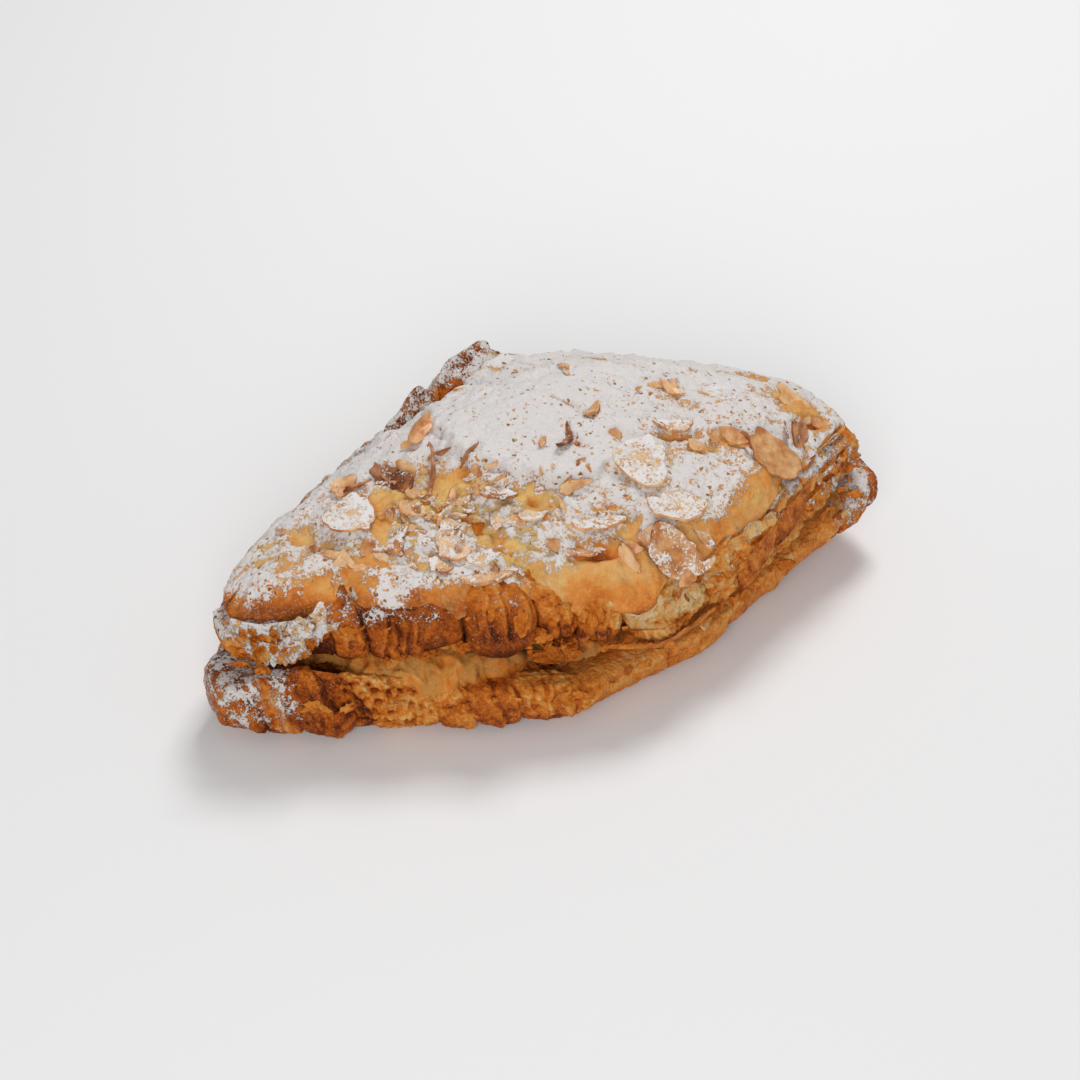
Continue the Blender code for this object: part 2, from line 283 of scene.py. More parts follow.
class Value:
    """A number or colour that changes over a surface, at a socket of a shader tree. It works like
    a number: each sum, difference or product is one Math node."""

    def __init__(self, socket):
        self.socket = socket
        self.tree = socket.id_data

    def math(self, operation, other=0.0, clamp=False):
        """One Math node on this value and another, held within 0 to 1 if it is clamped."""
        settings = {"operation": operation, "use_clamp": clamp}
        return result(self.tree, "ShaderNodeMath", {0: self, 1: other}, **settings)

    # The signs +, - and * between this value and another, or a number.
    def __add__(self, other):
        return self.math("ADD", other)

    def __sub__(self, other):
        return self.math("SUBTRACT", other)

    def __mul__(self, other):
        return self.math("MULTIPLY", other)


def fill(made, inputs):
    """Sets a node's inputs to plain numbers and colours, or links them to values."""
    for key, value in dict(inputs).items():
        if isinstance(value, Value):
            made.id_data.links.new(value.socket, made.inputs[key])
        else:
            made.inputs[key].default_value = value


def node(tree, kind, inputs=(), **settings):
    """A new shader node with its properties set and its inputs filled."""
    made = tree.nodes.new(kind)
    for key, value in settings.items():
        setattr(made, key, value)
    fill(made, inputs)
    return made


def result(tree, kind, inputs, output=0, **settings):
    """What a new shader node puts out."""
    return Value(node(tree, kind, inputs, **settings).outputs[output])


def between(value, low, high, out_low=0.0, out_high=1.0):
    """A smooth Map Range from low..high to out_low..out_high."""
    inputs = {"Value": value, "From Min": low, "From Max": high, "To Min": out_low, "To Max": out_high}
    return result(value.tree, "ShaderNodeMapRange", inputs, interpolation_type="SMOOTHSTEP")


def mixed(share, first, second, blend="MIX"):
    """Two colours mixed by a share from 0 to 1, the second over the first."""
    tree = next(one.tree for one in (share, first, second) if isinstance(one, Value))
    inputs = {0: share, 6: first, 7: second}
    return result(tree, "ShaderNodeMix", inputs, 2, data_type="RGBA", blend_type=blend)


def ramped(value, stops):
    """The colour of a ramp through the stops, each a place from 0 to 1 and a colour."""
    made = node(value.tree, "ShaderNodeValToRGB", {"Fac": value})
    elements = made.color_ramp.elements
    for index, (at, colour) in enumerate(stops):
        stop = elements[index] if index < 2 else elements.new(at)
        stop.position, stop.color = at, colour
    return Value(made.outputs["Color"])


def object_place(tree):
    """Where a point is on the object, in metres."""
    return result(tree, "ShaderNodeTexCoord", {}, "Object")


def grain(place, per_metre, detail, roughness=0.5):
    """A noise texture's value, from 0 to 1, with that many waves per metre."""
    inputs = {"Vector": place, "Scale": per_metre, "Detail": detail, "Roughness": roughness}
    return result(place.tree, "ShaderNodeTexNoise", inputs)


def stored(tree, name):
    """The value of one of the masks stored at the vertices."""
    return result(tree, "ShaderNodeAttribute", {}, "Fac", attribute_name=name)


def new_group(name, inputs, outputs):
    """An empty shader node group: its tree, its inputs as values by name, and the node that takes
    what it puts out. Each input has its usual number, and every output but Color is a number."""
    tree = bpy.data.node_groups.new(name, "ShaderNodeTree")
    for label, default in inputs.items():
        socket = tree.interface.new_socket(label, in_out="INPUT", socket_type="NodeSocketFloat")
        socket.default_value = default
    for label in outputs:
        kind = "NodeSocketColor" if label == "Color" else "NodeSocketFloat"
        tree.interface.new_socket(label, in_out="OUTPUT", socket_type=kind)
    source = tree.nodes.new("NodeGroupInput")
    values = {label: Value(source.outputs[label]) for label in inputs}
    return tree, values, tree.nodes.new("NodeGroupOutput")


def powdered_sugar():
    """Sifted sugar: the coverage, frayed by fine noise and pitted with small specks, is cut to a
    sharp mask. Its height has a grain of its own. Shade is painted shade: it darkens the crust just
    beyond the sugar's edge and in its pits, as the sugar would shadow them. Thin sugar is tinted
    warm, partly for the crust showing through and partly as painted warm bounce light."""
    outputs = ("Color", "Mask", "Height", "Shade")
    tree, source, sink = new_group("powdered sugar", {"Coverage": 0.5, "Fray": 1.3}, outputs)
    place = object_place(tree)
    coarse = grain(place, 520, 4, 0.7) - 0.5
    fine = grain(place, 1700, 3, 0.65) - 0.5
    specks = between(grain(place, 900, 1.5), 0.60, 0.66)
    specks = specks * between(grain(place, 110, 2), 0.45, 0.62, 0.0, 0.9)
    bend = result(tree, "ShaderNodeTexNoise", {"Vector": place, "Scale": 1100, "Detail": 2}, 1)
    bend = result(tree, "ShaderNodeVectorMath", {0: bend, 3: 0.0016}, operation="SCALE")
    bent = result(tree, "ShaderNodeVectorMath", {0: place, 1: bend}, operation="ADD")
    away = result(tree, "ShaderNodeTexVoronoi", {"Vector": bent, "Scale": 430}, "Distance")
    size = between(grain(place, 260, 2), 0.38, 0.62, 0.07, 0.24)
    hole = between(size - away, 0.0, 0.03)
    covered = source["Coverage"] + (coarse * source["Fray"] + fine * 2.1)
    level = covered - specks.math("MAXIMUM", hole)
    mask = between(level, 0.42, 0.56)
    clump = grain(place, 520, 5, 0.75) * 2.4 * mask
    pitted = hole * between(covered, 0.42, 0.56)
    body = between(level, 0.45, 0.85)
    sugar = {
        # Thin sugar is warmer: the crust showing through, and painted warm bounce light.
        "Color": mixed(body, (0.86, 0.72, 0.62, 1), (0.86, 0.815, 0.795, 1)),
        "Mask": mask,
        "Height": between(level, 0.36, 0.80, 0.0, 0.6) + clump,
        # Painted shade beside the sugar's edge and in its pits.
        "Shade": between(level, 0.20, 0.42, 1.0, 0.88) * between(pitted, 0, 1, 1.0, 0.48),
    }
    fill(sink, sugar)
    return tree


def browning():
    """Baked colour: from pale crumb through gold and orange-brown to dark brown, as the bake value
    rises, with blotches and fine flecks. The bake value also carries painted shade and highlights."""
    tree, source, sink = new_group("browning", {"Bake": 0.5, "Flecks": 0.3}, ("Color",))
    place = object_place(tree)
    value = source["Bake"]
    for per_metre, detail, share in ((150, 3, 0.34), (480, 4, 0.46)):
        value = value + (grain(place, per_metre, detail, 0.6) - 0.5) * share
    fleck = (grain(place, 1500, 3, 0.7) - 0.5) * source["Flecks"]
    value = value.math("ADD", fleck, clamp=True)
    stops = (
        (0.00, (0.84, 0.60, 0.32, 1)),
        (0.20, (0.82, 0.49, 0.17, 1)),
        (0.40, (0.80, 0.32, 0.060, 1)),
        (0.56, (0.70, 0.20, 0.018, 1)),
        (0.72, (0.50, 0.110, 0.006, 1)),
        (0.86, (0.26, 0.046, 0.003, 1)),
        (1.00, (0.085, 0.014, 0.002, 1)),
    )
    fill(sink, {"Color": ramped(value, stops)})
    return tree


def new_material(name):
    """An empty material: itself, its shader, and the place of its points."""
    made = bpy.data.materials.new(name)
    made.use_nodes = True
    return made, made.node_tree.nodes["Principled BSDF"], object_place(made.node_tree)


def sugared(colour):
    """Sugar by the sugar mask: the colour darkened by the sugar's painted shade beside it and in its
    pits, then covered by it, and what the sugar group puts out, as values by name."""
    inputs = {"Coverage": stored(colour.tree, "sugar")}
    group = node(colour.tree, "ShaderNodeGroup", inputs, node_tree=SUGAR)
    sugar = {socket.name: Value(socket) for socket in group.outputs}
    colour = mixed(1.0, colour, sugar["Shade"], "MULTIPLY")
    return mixed(sugar["Mask"], colour, sugar["Color"]), sugar


def bump(height, strength, distance):
    """The normal of a surface raised by a height times that distance in metres."""
    inputs = {"Height": height, "Strength": strength, "Distance": distance}
    return result(height.tree, "ShaderNodeBump", inputs, "Normal")


def baked_material(name, roughness, flecks, strength, under, subsurface):
    """A baked surface: browning by the bake mask, which also carries painted shade and highlights,
    the cream's or crust's own finish over it, then sugar with its painted shade, and a fine crumb
    with cracks in the bump."""
    made, shader, place = new_material(name)
    inputs = {"Bake": stored(place.tree, "bake"), "Flecks": flecks}
    colour = result(place.tree, "ShaderNodeGroup", inputs, "Color", node_tree=BROWNING)
    colour, sugar = sugared(under(place, colour))
    crack = (grain(place, 380, 4, 0.6) - 0.5).math("ABSOLUTE")
    crumb = grain(place, 800, 5, 0.75) - crack * 2.4
    surface = {
        "Base Color": colour,
        "Roughness": between(sugar["Mask"], 0, 1, roughness, 0.95),
        "Normal": bump(crumb + sugar["Height"] * 0.34, strength, 0.0008),
        "Specular IOR Level": 0.14,
        "Subsurface Weight": subsurface,
        "Subsurface Radius": (1.0, 0.45, 0.15),
        "Subsurface Scale": 0.0025,
    }
    fill(shader, surface)
    return made


def frosted(place, colour):
    """Single grains of sugar caught on a browned crust, too thin to hide it."""
    grains = between(grain(place, 1900, 2, 0.6), 0.56, 0.68, 0.0, 0.34)
    patches = between(grain(place, 90, 2), 0.35, 0.65, 0.25, 1.0)
    return mixed(grains * patches, colour, (0.82, 0.50, 0.25, 1))


SUGAR = powdered_sugar()
BROWNING = browning()

# A layer's outline: half its length, y and z of the tips, then of each long edge: where along
# it the peak is, how far it stands out, the powers of its curve to the left and right of the
# peak, and the radius of the left and right tips. Below, how blunt the tips are, and the powers
# of the section: of its lower half and of its upper one.
BASE = {
    "half": HALF_LENGTH,
    "tips_y": (-16.08, -13.58),
    "tips_z": (10.0, 16.0),
    "front": (-0.10, 30.0, 1.00, 1.00, 10.5, 2.5),
    "back": (0.14, 57.0, 1.12, 1.35, 4.0, 8.5),
    "blunt": 4.2,
    "square": 0.55,
    "shoulder": 0.40,
}
# Rolls of the front wall, each from its x to the next one's: how far it stands out in mm, how
# strongly its cut layers are ribbed, how baked it is, and how far it is torn to a crumb.
BASE_ROLLS = (
    (-90, 0.4, 0, 0.6, 0), (-81.5, 0.2, 0.3, 0.58, 0.1), (-73.6, 0.4, 0.2, 0.78, 0),
    (-64, -2.6, 0.3, 0.8, 0.6), (-57.5, -0.4, 0.1, 0.48, 1), (-42.5, 0.8, 0.2, 0.56, 0.45),
    (-35, 1.2, 0.2, 0.68, 0.05), (-24, 0.8, 0.4, 0.62, 0), (-10, 0.4, 0.15, 0.48, 0.05),
    (37.5, 0.2, 0.1, 0.52, 0), (58, 0, 0.1, 0.5, 0.1), (75, 0.2, 0.2, 0.56, 0),
    (84, 0.4, 0, 0.7, 0), (90.5,),
)
# Rolls of the back wall, in the same columns.
BASE_BACK_ROLLS = (
    (-90, 1.2, 0, 0.72, 0), (-79, 2.4, 0.2, 0.66, 0), (-60, 2.6, 0.3, 0.62, 0),
    (-34, 2.8, 0.2, 0.64, 0), (-9, 2.6, 0.3, 0.6, 0), (20, 2.8, 0.2, 0.64, 0),
    (45, 2.4, 0.3, 0.62, 0), (67, 2.2, 0.2, 0.66, 0), (82, 1.2, 0, 0.72, 0),
    (90.5,),
)


def rolls(x, table):
    """The bulge of each roll, 0 at a joint and 1 halfway to the next, then the columns of the
    table as they are at x, each changing over 1.5 mm at a joint."""
    starts = np.array([row[0] for row in table])
    index = np.clip(np.searchsorted(starts, x) - 1, 0, len(starts) - 2)
    share = np.clip((x - starts[index]) / (starts[index + 1] - starts[index]), 0, 1)
    found = [np.sin(np.pi * share) ** 0.45]
    steps = [smooth(start - 0.75, start + 0.75, x) for start in starts[1:-1]]
    for column in range(1, len(table[0])):
        values = [row[column] for row in table[:-1]]
        found.append(values[0] + sum((b - a) * t for a, b, t in zip(values, values[1:], steps)))
    return found


def blended(share, first, second):
    """Two lists of columns mixed: the first where the share is 1, the second where it is 0."""
    return [share * a + (1 - share) * b for a, b in zip(first, second)]


WIDEST_AT = 7.4  # height where the lower half is widest
LIFT_LEFT, LIFT_RIGHT = 1.0, 12.0  # how far the underside curls up at the tips
CUT_HEIGHT, CUT_LEFT, CUT_RIGHT = 11.2, 9.5, 14.0  # the cut, and its climb towards the tips


def base_lift(x):
    """How far the underside curls up: a power of the share of the way to a tip."""
    s = np.abs(x / HALF_LENGTH)
    return np.where(x > 0, LIFT_RIGHT * s**3, LIFT_LEFT * s**4)


def lower_cut(x):
    """Height of the level cut, which climbs with the fourth power towards the tips."""
    return CUT_HEIGHT + np.where(x > 0, CUT_RIGHT, CUT_LEFT) * np.abs(x / HALF_LENGTH) ** 4


# Height of the rim of the front wall above the cut: x, and mm.
BASE_RIM = (
    (-88, 0), (-80, 7.0), (-70, 11.0), (-62, 9.5), (-52, 7.6), (-40, 5.0), (-24, 4.4), (-10, 3.4),
    (4, 1.6), (20, 1.0),
)


def base_rim(x, y):
    """How far the crust of the front wall stands above the cut, curled up round the cream: the
    height from the table, falling off inwards as a bell does."""
    inside = y - edges_at(BASE, x)[0]
    return table_at(x, BASE_RIM) * np.exp(-((np.maximum(0, inside - 2.5) / 4.5) ** 2))


def lines(along, seed, share=0.5):
    """Ridges between -1 and 1 across a coordinate of period 1, some strong and some faint."""
    wave = np.abs(along % 1 - 0.5) * 2
    rng = np.random.default_rng(seed)
    strength = rng.uniform(1 - share, 1 + share, 512)[np.floor(along).astype(int) & 511]
    return (2 * smooth(0.05, 0.95, wave) - 1) * strength


# Sheets of the lower half seen edge on: x, width, lowest and highest z, and rise in mm.
BASE_FLAPS = (
    (-79.0, 4.5, 1, 15, 0.6), (-71.5, 6.5, 1, 16, 0.8), (-38.5, 3.6, 2, 14, 0.4),
    (-33.0, 4.2, 1, 15, 0.6), (-27.5, 3.6, 0, 15, 0.6), (-22.8, 1.9, 4, 15.5, 0.6),
    (-20.3, 2.4, 1, 15, 0.5), (-17.4, 1.5, 6, 14.5, 0.7), (-15.2, 2.5, 3, 14.5, 0.5),
    (-11.8, 1.8, 6, 14, 0.3), (8.0, 7.0, 0, 9, 0.3), (30.0, 6.5, 1, 14, 0.5),
    (50.0, 7.0, 4, 16, 0.5), (67.0, 6.0, 6, 20, 0.5),
)


def flaps(x, z, table):
    """Overlapping sheets seen edge on: each rises slowly across its width and drops off at its
    edge, between two heights. Returns the relief, and what it adds to the bake mask: a painted
    highlight along each crest and a painted shadow just past each drop."""
    relief, bake = 0.0, 0.0
    for start, width, low, high, rise in table:
        share = (x - start) / width
        within = smooth(low - 0.8, low + 0.8, z) * smooth(high + 0.8, high - 0.8, z)
        edge = smooth(0.0, 1.0, share) * smooth(1.0 + 0.45 / width, 1.0, share) * within
        relief = relief + rise * edge
        # Painted highlight on the crest, painted shadow just past the drop.
        bake = bake - 0.12 * edge**3 + 0.14 * bell(share, 1 + 0.7 / width, 0.5 / width) * within
    return relief, bake


def crust_relief(grid, out, ribs, crumb, bulge, seed, calm=1.0):
    """Relief of a rolled, laminated crust, and what it adds to the bake mask: plates of broken
    layers that end in small cliffs, upright folds where layers were cut through, blisters, a torn
    crumb, grain. Painted shade darkens whatever is sunken and the foot of each cliff, and a painted
    highlight lightens what is raised and the broken top of each cliff."""
    warp = rough(grid, 5, 2, seed + 3)[..., None] * (0.9, 0.9, 0.6)
    flaky = ridges((grid + warp) * (0.45, 0.45, 1.0), 3.6, 4, seed, 0.62)
    sloping = (grid + warp) * (1.0, 1.0, 0.30) + grid[..., 2:] * (0.35, 0, 0)
    upright = ridges(sloping, 4.2, 4, seed + 30, 0.6)
    fold = lines((grid[..., 0] + 0.18 * grid[..., 2] + 1.5 * warp[..., 0]) / 2.3, seed + 31, 0.7)
    upright = 0.85 * upright + 0.42 * fold * smooth(0.86, 0.98, ribs)
    strata = lines((grid[..., 2] + 1.6 * warp[..., 0]) / 1.5, seed)
    strata = strata * smooth(-0.2, 0.5, rough(grid, 9, 2, seed + 5))
    blister = np.abs(rough(grid * (0.8, 0.8, 1), 4.4, 2, seed + 7))
    lumps = rough(grid, 9, 2, seed + 11)
    fine = ridges(grid, 1.7, 2, seed + 15)
    hole, value = cells(grid * (1, 1, 1.2) + 0.9 * warp, 1.9, seed + 20)
    pore, deep = cells(grid * (1, 1, 1.3) + 0.9 * warp, 3.6, seed + 21)
    stack = 2.6 * rough((grid + 0.5 * warp) * (0.55, 0.55, 1.25), 5.5, 3, seed + 40) + 3.0
    cliff = stack % 1
    plates = np.floor(stack) + smooth(0.0, 0.28, cliff) - 3.0
    torn = 0.8 - 1.5 * hole + 0.2 * flaky + 0.35 * fine - 1.6 * smooth(0.42, 0.12, pore) * (deep > 0.4)
    crust = (0.22 * flaky + 0.14 * strata + 0.42 * plates) * (1 - 0.7 * ribs) * (1 - 0.7 * crumb)
    detail = (crust + 0.95 * upright * ribs * (1 - crumb) + 0.16 * fine + 0.95 * crumb * torn) * calm
    height = out * bulge + detail + (0.5 * blister + 0.6 * lumps) * (0.3 + 0.7 * calm)
    # Painted shade in what is sunken and a painted highlight on what is raised; below, painted shade at
    # each cliff's foot and a painted highlight along its top.
    bake = 0.06 * lumps - 0.32 * detail - 0.06 * (blister - 0.4) + crumb * (0.16 * value - 0.08)
    bake = bake + calm * (0.16 * bell(cliff, 0.0, 0.10) - 0.16 * bell(cliff, 0.30, 0.09)) * (1 - ribs)
    return height, np.clip(bake, -0.42, 0.42)


base_grid = layer(
    BASE, 560, 170, (45, 6.5, 0.22, 0.16),
    rim=lambda x, y: WIDEST_AT + base_lift(x),
    under=lambda x, y: base_lift(x) - 1.2,
    over=lambda x, y: lower_cut(x) - 0.35 + base_rim(x, y),
    bulge=lambda s, side: (3.6 * bell(s, 0.31, 0.14) + 3.0 * bell(s, 0.89, 0.09)) * (side < 0),
)
facing = normals(base_grid)
wall = smooth(0.3, 0.75, np.hypot(facing[..., 0], facing[..., 1]))
x, y, z = np.moveaxis(base_grid, -1, 0)
front = smooth(-4, -20, y - 6 * np.abs(x / HALF_LENGTH) ** 6)
lean = x + 0.38 * (z - 8) * smooth(0, -45, x) - 0.5 * (z - 10) * smooth(20, 50, x)
lean = lean + 0.9 * rough(base_grid, 7, 2, 90)
bulge, out, ribs, roll_bake, crumb = blended(
    front, rolls(lean, BASE_ROLLS), rolls(lean + 0.4 * z, BASE_BACK_ROLLS)
)
calm = 1 - 0.58 * front * smooth(-14, -4, x) - 0.70 * front * smooth(-60, -66, x)
calm = calm - 0.5 * front * bell(x, -29, 10)
relief, baked = crust_relief(base_grid, out, ribs * calm, crumb, bulge, 100, calm)
crease = smooth(0.45, 0.0, bulge)
# Painted shade: darker in the creases between the rolls and where the crust faces down. It is also darker
# within 3 mm of the floor.
bake = roll_bake + baked + 0.20 * crease - 0.09 * crease * (z > 13)
bake = bake + 0.12 * smooth(0.2, -0.6, facing[..., 2]) + 0.06 * smooth(3.0, 0.5, z)
ring = np.hypot((x - np.sign(x) * 70) / 20, (z - np.where(x > 0, 18, 9)) / 11)
at_tip = smooth(70, 80, np.abs(x))
relief = relief - 0.8 * crease + at_tip * 0.55 * lines(ring * 4.2 + 0.2 * rough(base_grid, 5, 2, 95), 96)
band = lines((lean + 0.8 * rough(base_grid, 5, 2, 97)) / 1.9, 98, 0.8) * front * smooth(-58, -66, x)
relief = relief + 0.14 * band * smooth(0.5, 4, z)
ragged_lean = lean + 1.0 * rough(base_grid, 4, 3, 94)
folded, fold_bake = flaps(ragged_lean, z + 2.4 * rough(base_grid, 3, 2, 99), BASE_FLAPS)
relief = relief + folded * front
# Raised bands are lighter, a painted highlight; the folds add their painted highlights and shadows.
bake = bake - 0.05 * band + fold_bake * front
bake = bake + 0.10 * smooth(78, 90, np.abs(x)) + 0.22 * bell(lean, -80.5, 2.2) * front
relief = relief * (0.2 + 0.8 * wall) * smooth(-0.1, 1.0, z)
scallop = 1.7 * (1 - bulge) * front * smooth(6, 0, z)
base_grid = raised(base_grid, relief)
base_grid[..., 2] = np.maximum(base_grid[..., 2] + scallop, 0.0)
dusting = 1.60 * bell(x, -85, 7.5) * front + 1.15 * bell(x, -75.5, 2.6) * smooth(2, 9, z) * front
dusting = dusting + 1.7 * bell(x, 82, 7) * smooth(6, 15, z)
dusting = dusting + 0.5 * smooth(72, 82, np.abs(x)) * (1 - front)
sugar = 0.46 * dusting * smooth(-0.7, 0.4, facing[..., 2])
sugar = sugar + 0.46 * rough(base_grid, 3.0, 3, 170) * (dusting > 0.15)
CRUST = baked_material("browned crust", 0.46, 0.50, 1.0, under=frosted, subsurface=0.05)
piece(
    "lower_half", [closed_grid(base_grid, bake=bake, sugar=sugar)], CRUST,
    replaces=["croissant_base"],
)


# ---------------------------------------------------------------------------------------
# Filling. Almond cream piped between the halves: it set in the oven, stands out at the
# front left in soft lumps, and one tongue of it ran down over the lower half.

FILLING = {
    "half": 72.0,
    "tips_y": (-14.58, -10.58),
    "tips_z": (18.0, 19.0),
    "front": (-0.05, 27.5, 1.2, 1.15, 8.0, 6.0),
    "back": (0.14, 47.0, 1.1, 1.35, 6.0, 7.0),
    "blunt": 4.0,
    "square": 0.7,
    "shoulder": 0.7,
}
LID = {
    "half": 85.95,
    "tips_y": (-14.58, -5.58),
    "tips_z": (25.0, 29.0),
    "front": (0.13, 33.0, 1.12, 1.12, 6.0, 6.0),
    "back": (0.10, 55.0, 1.17, 1.35, 7.0, 8.5),
    "blunt": 4.0,
    "square": 0.42,
    "shoulder": 0.42,
}


THINNEST, THICKER, ARCH = 1.3, 10.2, 1.5  # the cream at the tips, what the middle adds, its crown


def upper_cut(x, y):
    """Underside of the upper half: the cut, lifted by the cream, whose depth is a bell along the
    croissant and an arch across it."""
    s = x / HALF_LENGTH
    depth = THINNEST + THICKER * np.exp(-(((s + 0.25) / 0.42) ** 2))
    middle = np.maximum(0, 1 - across(LID, x, y) ** 2)
    return lower_cut(x) + depth + ARCH * middle * (1 - np.minimum(1, np.abs(s)) ** 2)


def swell(steps, s):
    """0 at each joint of the cream's soft lumps and 1 halfway to the next: half a sine wave to the
    power 0.7."""
    steps = np.array(steps)
    roll = np.clip(np.searchsorted(steps, s) - 1, 0, len(steps) - 2)
    share = (s - steps[roll]) / (steps[roll + 1] - steps[roll])
    return np.sin(np.pi * np.clip(share, 0, 1)) ** 0.7


# How far the cream stands out of the front of the cut: x, and mm.
FILLING_EDGE = (
    (-72, -9.0), (-61, -8.0), (-55, 2.0), (-44, 3.0), (-34, 1.0), (-22, -2.2), (-12, -3.4), (0, -3.0),
    (20, -0.5),
)


filling_grid = layer(
    FILLING, 420, 90, (38, 5, 0.25, 0.25),
    rim=lambda x, y: 0.65 * lower_cut(x) + 0.35 * upper_cut(x, y),
    under=lambda x, y: lower_cut(x) - 1.2,
    over=lambda x, y: upper_cut(x, y) + 0.6,
    bulge=lambda s, side: (
        1.4 * swell((-1.0, -0.55, -0.25, 0.0, 0.3, 1.0), s)
        + table_at(s * FILLING["half"], FILLING_EDGE) * (side < 0)
    ),
)
x, y, z = np.moveaxis(filling_grid, -1, 0)
lumps = rough(filling_grid, 7, 3, 200)
bubble, bubble_value = cells(filling_grid + 0.6 * lumps[..., None], 2.6, 210)
pit = smooth(0.45, 0.15, bubble) * (bubble_value > 0.62)
cave = bell(x, -12, 4.0) * bell(z, 16.5, 2.2) + 0.7 * bell(x, -19, 2.0) * bell(z, 19, 1.5)
cave = smooth(-20, -34, y) * cave
curd = ridges(filling_grid, 3.2, 3, 215)
relief = 2.0 * lumps - 0.25 * curd + 0.2 * rough(filling_grid, 1.4, 3, 220) - 1.0 * pit - 5.0 * cave
relief = relief + 0.8 * np.abs(rough(filling_grid, 3.4, 2, 218))
filling_grid = raised(filling_grid, relief)
drop = np.maximum(0, 1 - ((x + 41.5) / 5.0) ** 2) + 0.6 * np.maximum(0, 1 - ((x + 33) / 3.2) ** 2)
tongue = smooth(-20, -36, y) * drop**0.8 * smooth(21, 14, z)
filling_grid[..., 1] -= 3.2 * tongue
filling_grid[..., 2] -= 1.4 * tongue
# Painted shade: darker in the pits and the cave, under the upper half's overhang from x -38 on and
# towards its underside there, and at the left end under the eave.
bake = 0.46 + 0.14 * lumps + 0.10 * curd + 0.24 * pit + 0.7 * cave + 0.10 * tongue
bake = bake + 0.30 * smooth(-38, -24, x) + 0.3 * smooth(-56, -62, x)
bake = bake + 0.10 * smooth(16, 21, z - 2 * lumps) * smooth(-40, -28, x)


def eggy(place, colour):
    """Turns the colour towards a moist yellow in soft patches."""
    patch = between(grain(place, 190, 3), 0.42, 0.60)
    return mixed(between(patch, 0, 1, 0.25, 0.70), colour, (0.47, 0.24, 0.060, 1))


CREAM = baked_material("baked filling", 0.42, 0.16, 0.6, under=eggy, subsurface=0.2)
piece(
    "filling", [closed_grid(filling_grid, bake=bake, sugar=0 * bake)], CREAM,
    replaces=["almond_cream_filling"],
)


# ---------------------------------------------------------------------------------------
# Upper half. The same rolled dough, cut from the lower half and laid back on the cream.
# Its edge hangs in lobes: ribbed where the layers were torn, and spongy on the right.

LID_HEIGHT, LID_CROWN, FOLD = 32.5, 9.5, 10.0  # the top edge, then the rise of crown and fold
LID_LEFT_DROP, LID_RIGHT_DROP, SAG = 6.0, 3.0, 4.0  # how far the edge falls at tips and front
# Rolls of the front wall, each from its x to the next one's: how far it stands out, how far
# its lower edge hangs in mm, how strongly it is ribbed, how baked and how torn it is.
LID_ROLLS = (
    (-86, 0.5, 0, 0, 0.58, 0.4), (-71.5, -2, -3.5, 0, 0.9, 0.3), (-62.5, 1.2, -2, 0.3, 0.74, 0),
    (-55, 2.6, -1.6, 0.2, 0.82, 0), (-33.5, 4.4, 2.4, 0.1, 0.78, 0),
    (-17, 1.2, -0.4, 0.4, 0.74, 0.1), (-8.5, 2, 1, 0.2, 0.64, 0.1), (3, 1.4, 1.4, 0, 0.54, 0.3),
    (27, 0.8, 0.5, 0.1, 0.48, 0.45), (38, 1, 0.5, 0.2, 0.5, 0.15), (51, 1.2, 0, 0.2, 0.5, 0.2),
    (63, 1, 0, 0.2, 0.5, 0.2), (75, 1, 0, 0, 0.54, 0.3), (86.5,),
)
# Rolls of the back wall, in the same columns.
LID_BACK_ROLLS = (
    (-86, 0.6, 0, 0, 0.66, 0.2), (-66, 1.4, 0.8, 0.3, 0.62, 0), (-44, 1.6, 1, 0.2, 0.64, 0.1),
    (-18, 1.8, 0.8, 0.3, 0.6, 0), (8, 2.4, 1.2, 0.2, 0.62, 0.1), (34, 2.4, 0.8, 0.3, 0.64, 0),
    (58, 2.2, 0.6, 0.2, 0.62, 0.1), (76, 1, 0, 0, 0.66, 0.2), (86.5,),
)


# Sheets of the upper half seen edge on, in the same columns as those of the lower half.
LID_FLAPS = (
    (-61.6, 2.7, 24, 30, 0.4), (-58.4, 2.0, 23, 30, 0.5), (-53.2, 2.0, 22, 31, 0.6),
    (-50.6, 1.6, 21.5, 30.5, 0.9), (-48.5, 1.8, 21.5, 31, 0.6), (-46.2, 1.9, 21, 31, 0.9),
    (-31.0, 2.6, 28, 33, 0.4), (-27.6, 3.2, 26, 34, 0.9), (-22.8, 3.0, 28, 34, 0.8),
    (-16.2, 3.2, 22, 31, 0.8), (-12.0, 2.6, 21, 30, 0.7), (-8.6, 3.2, 18, 28, 1.0),
    (-4.6, 2.6, 20, 30, 0.8),
)
# How much sugar lies on the front ledge of the upper half: x, and the mask.
LEDGE_SUGAR = (
    (-86, 0.3), (-60, 0.4), (-50, 0.5), (-35, 0.15), (-10, 0), (20, 0), (30, 0.4), (60, 0.72), (84, 0.8),
)


def lid_rolls(x, y, z=25.0):
    """The rolls' bulge and columns, blended from the front table to the back one."""
    front = smooth(-2, -16, y - 6 * np.abs(x / 86) ** 6)
    lean = x + 0.12 * (z - 25)
    return blended(front, rolls(lean, LID_ROLLS), rolls(x - 0.3 * (z - 25), LID_BACK_ROLLS))


def lid_underside(x, y):
    """The upper cut, with the outer ends of the rolls hanging below it."""
    s = np.clip(x / HALF_LENGTH, -1, 1)
    bulge, _, hang, *_ = lid_rolls(x, y)
    edge = smooth(0.80, 0.97, np.abs(across(LID, x, y)))
    return upper_cut(x, y) + 0.35 - (0.8 + hang) * bulge * edge * (1 - np.abs(s) ** 6)


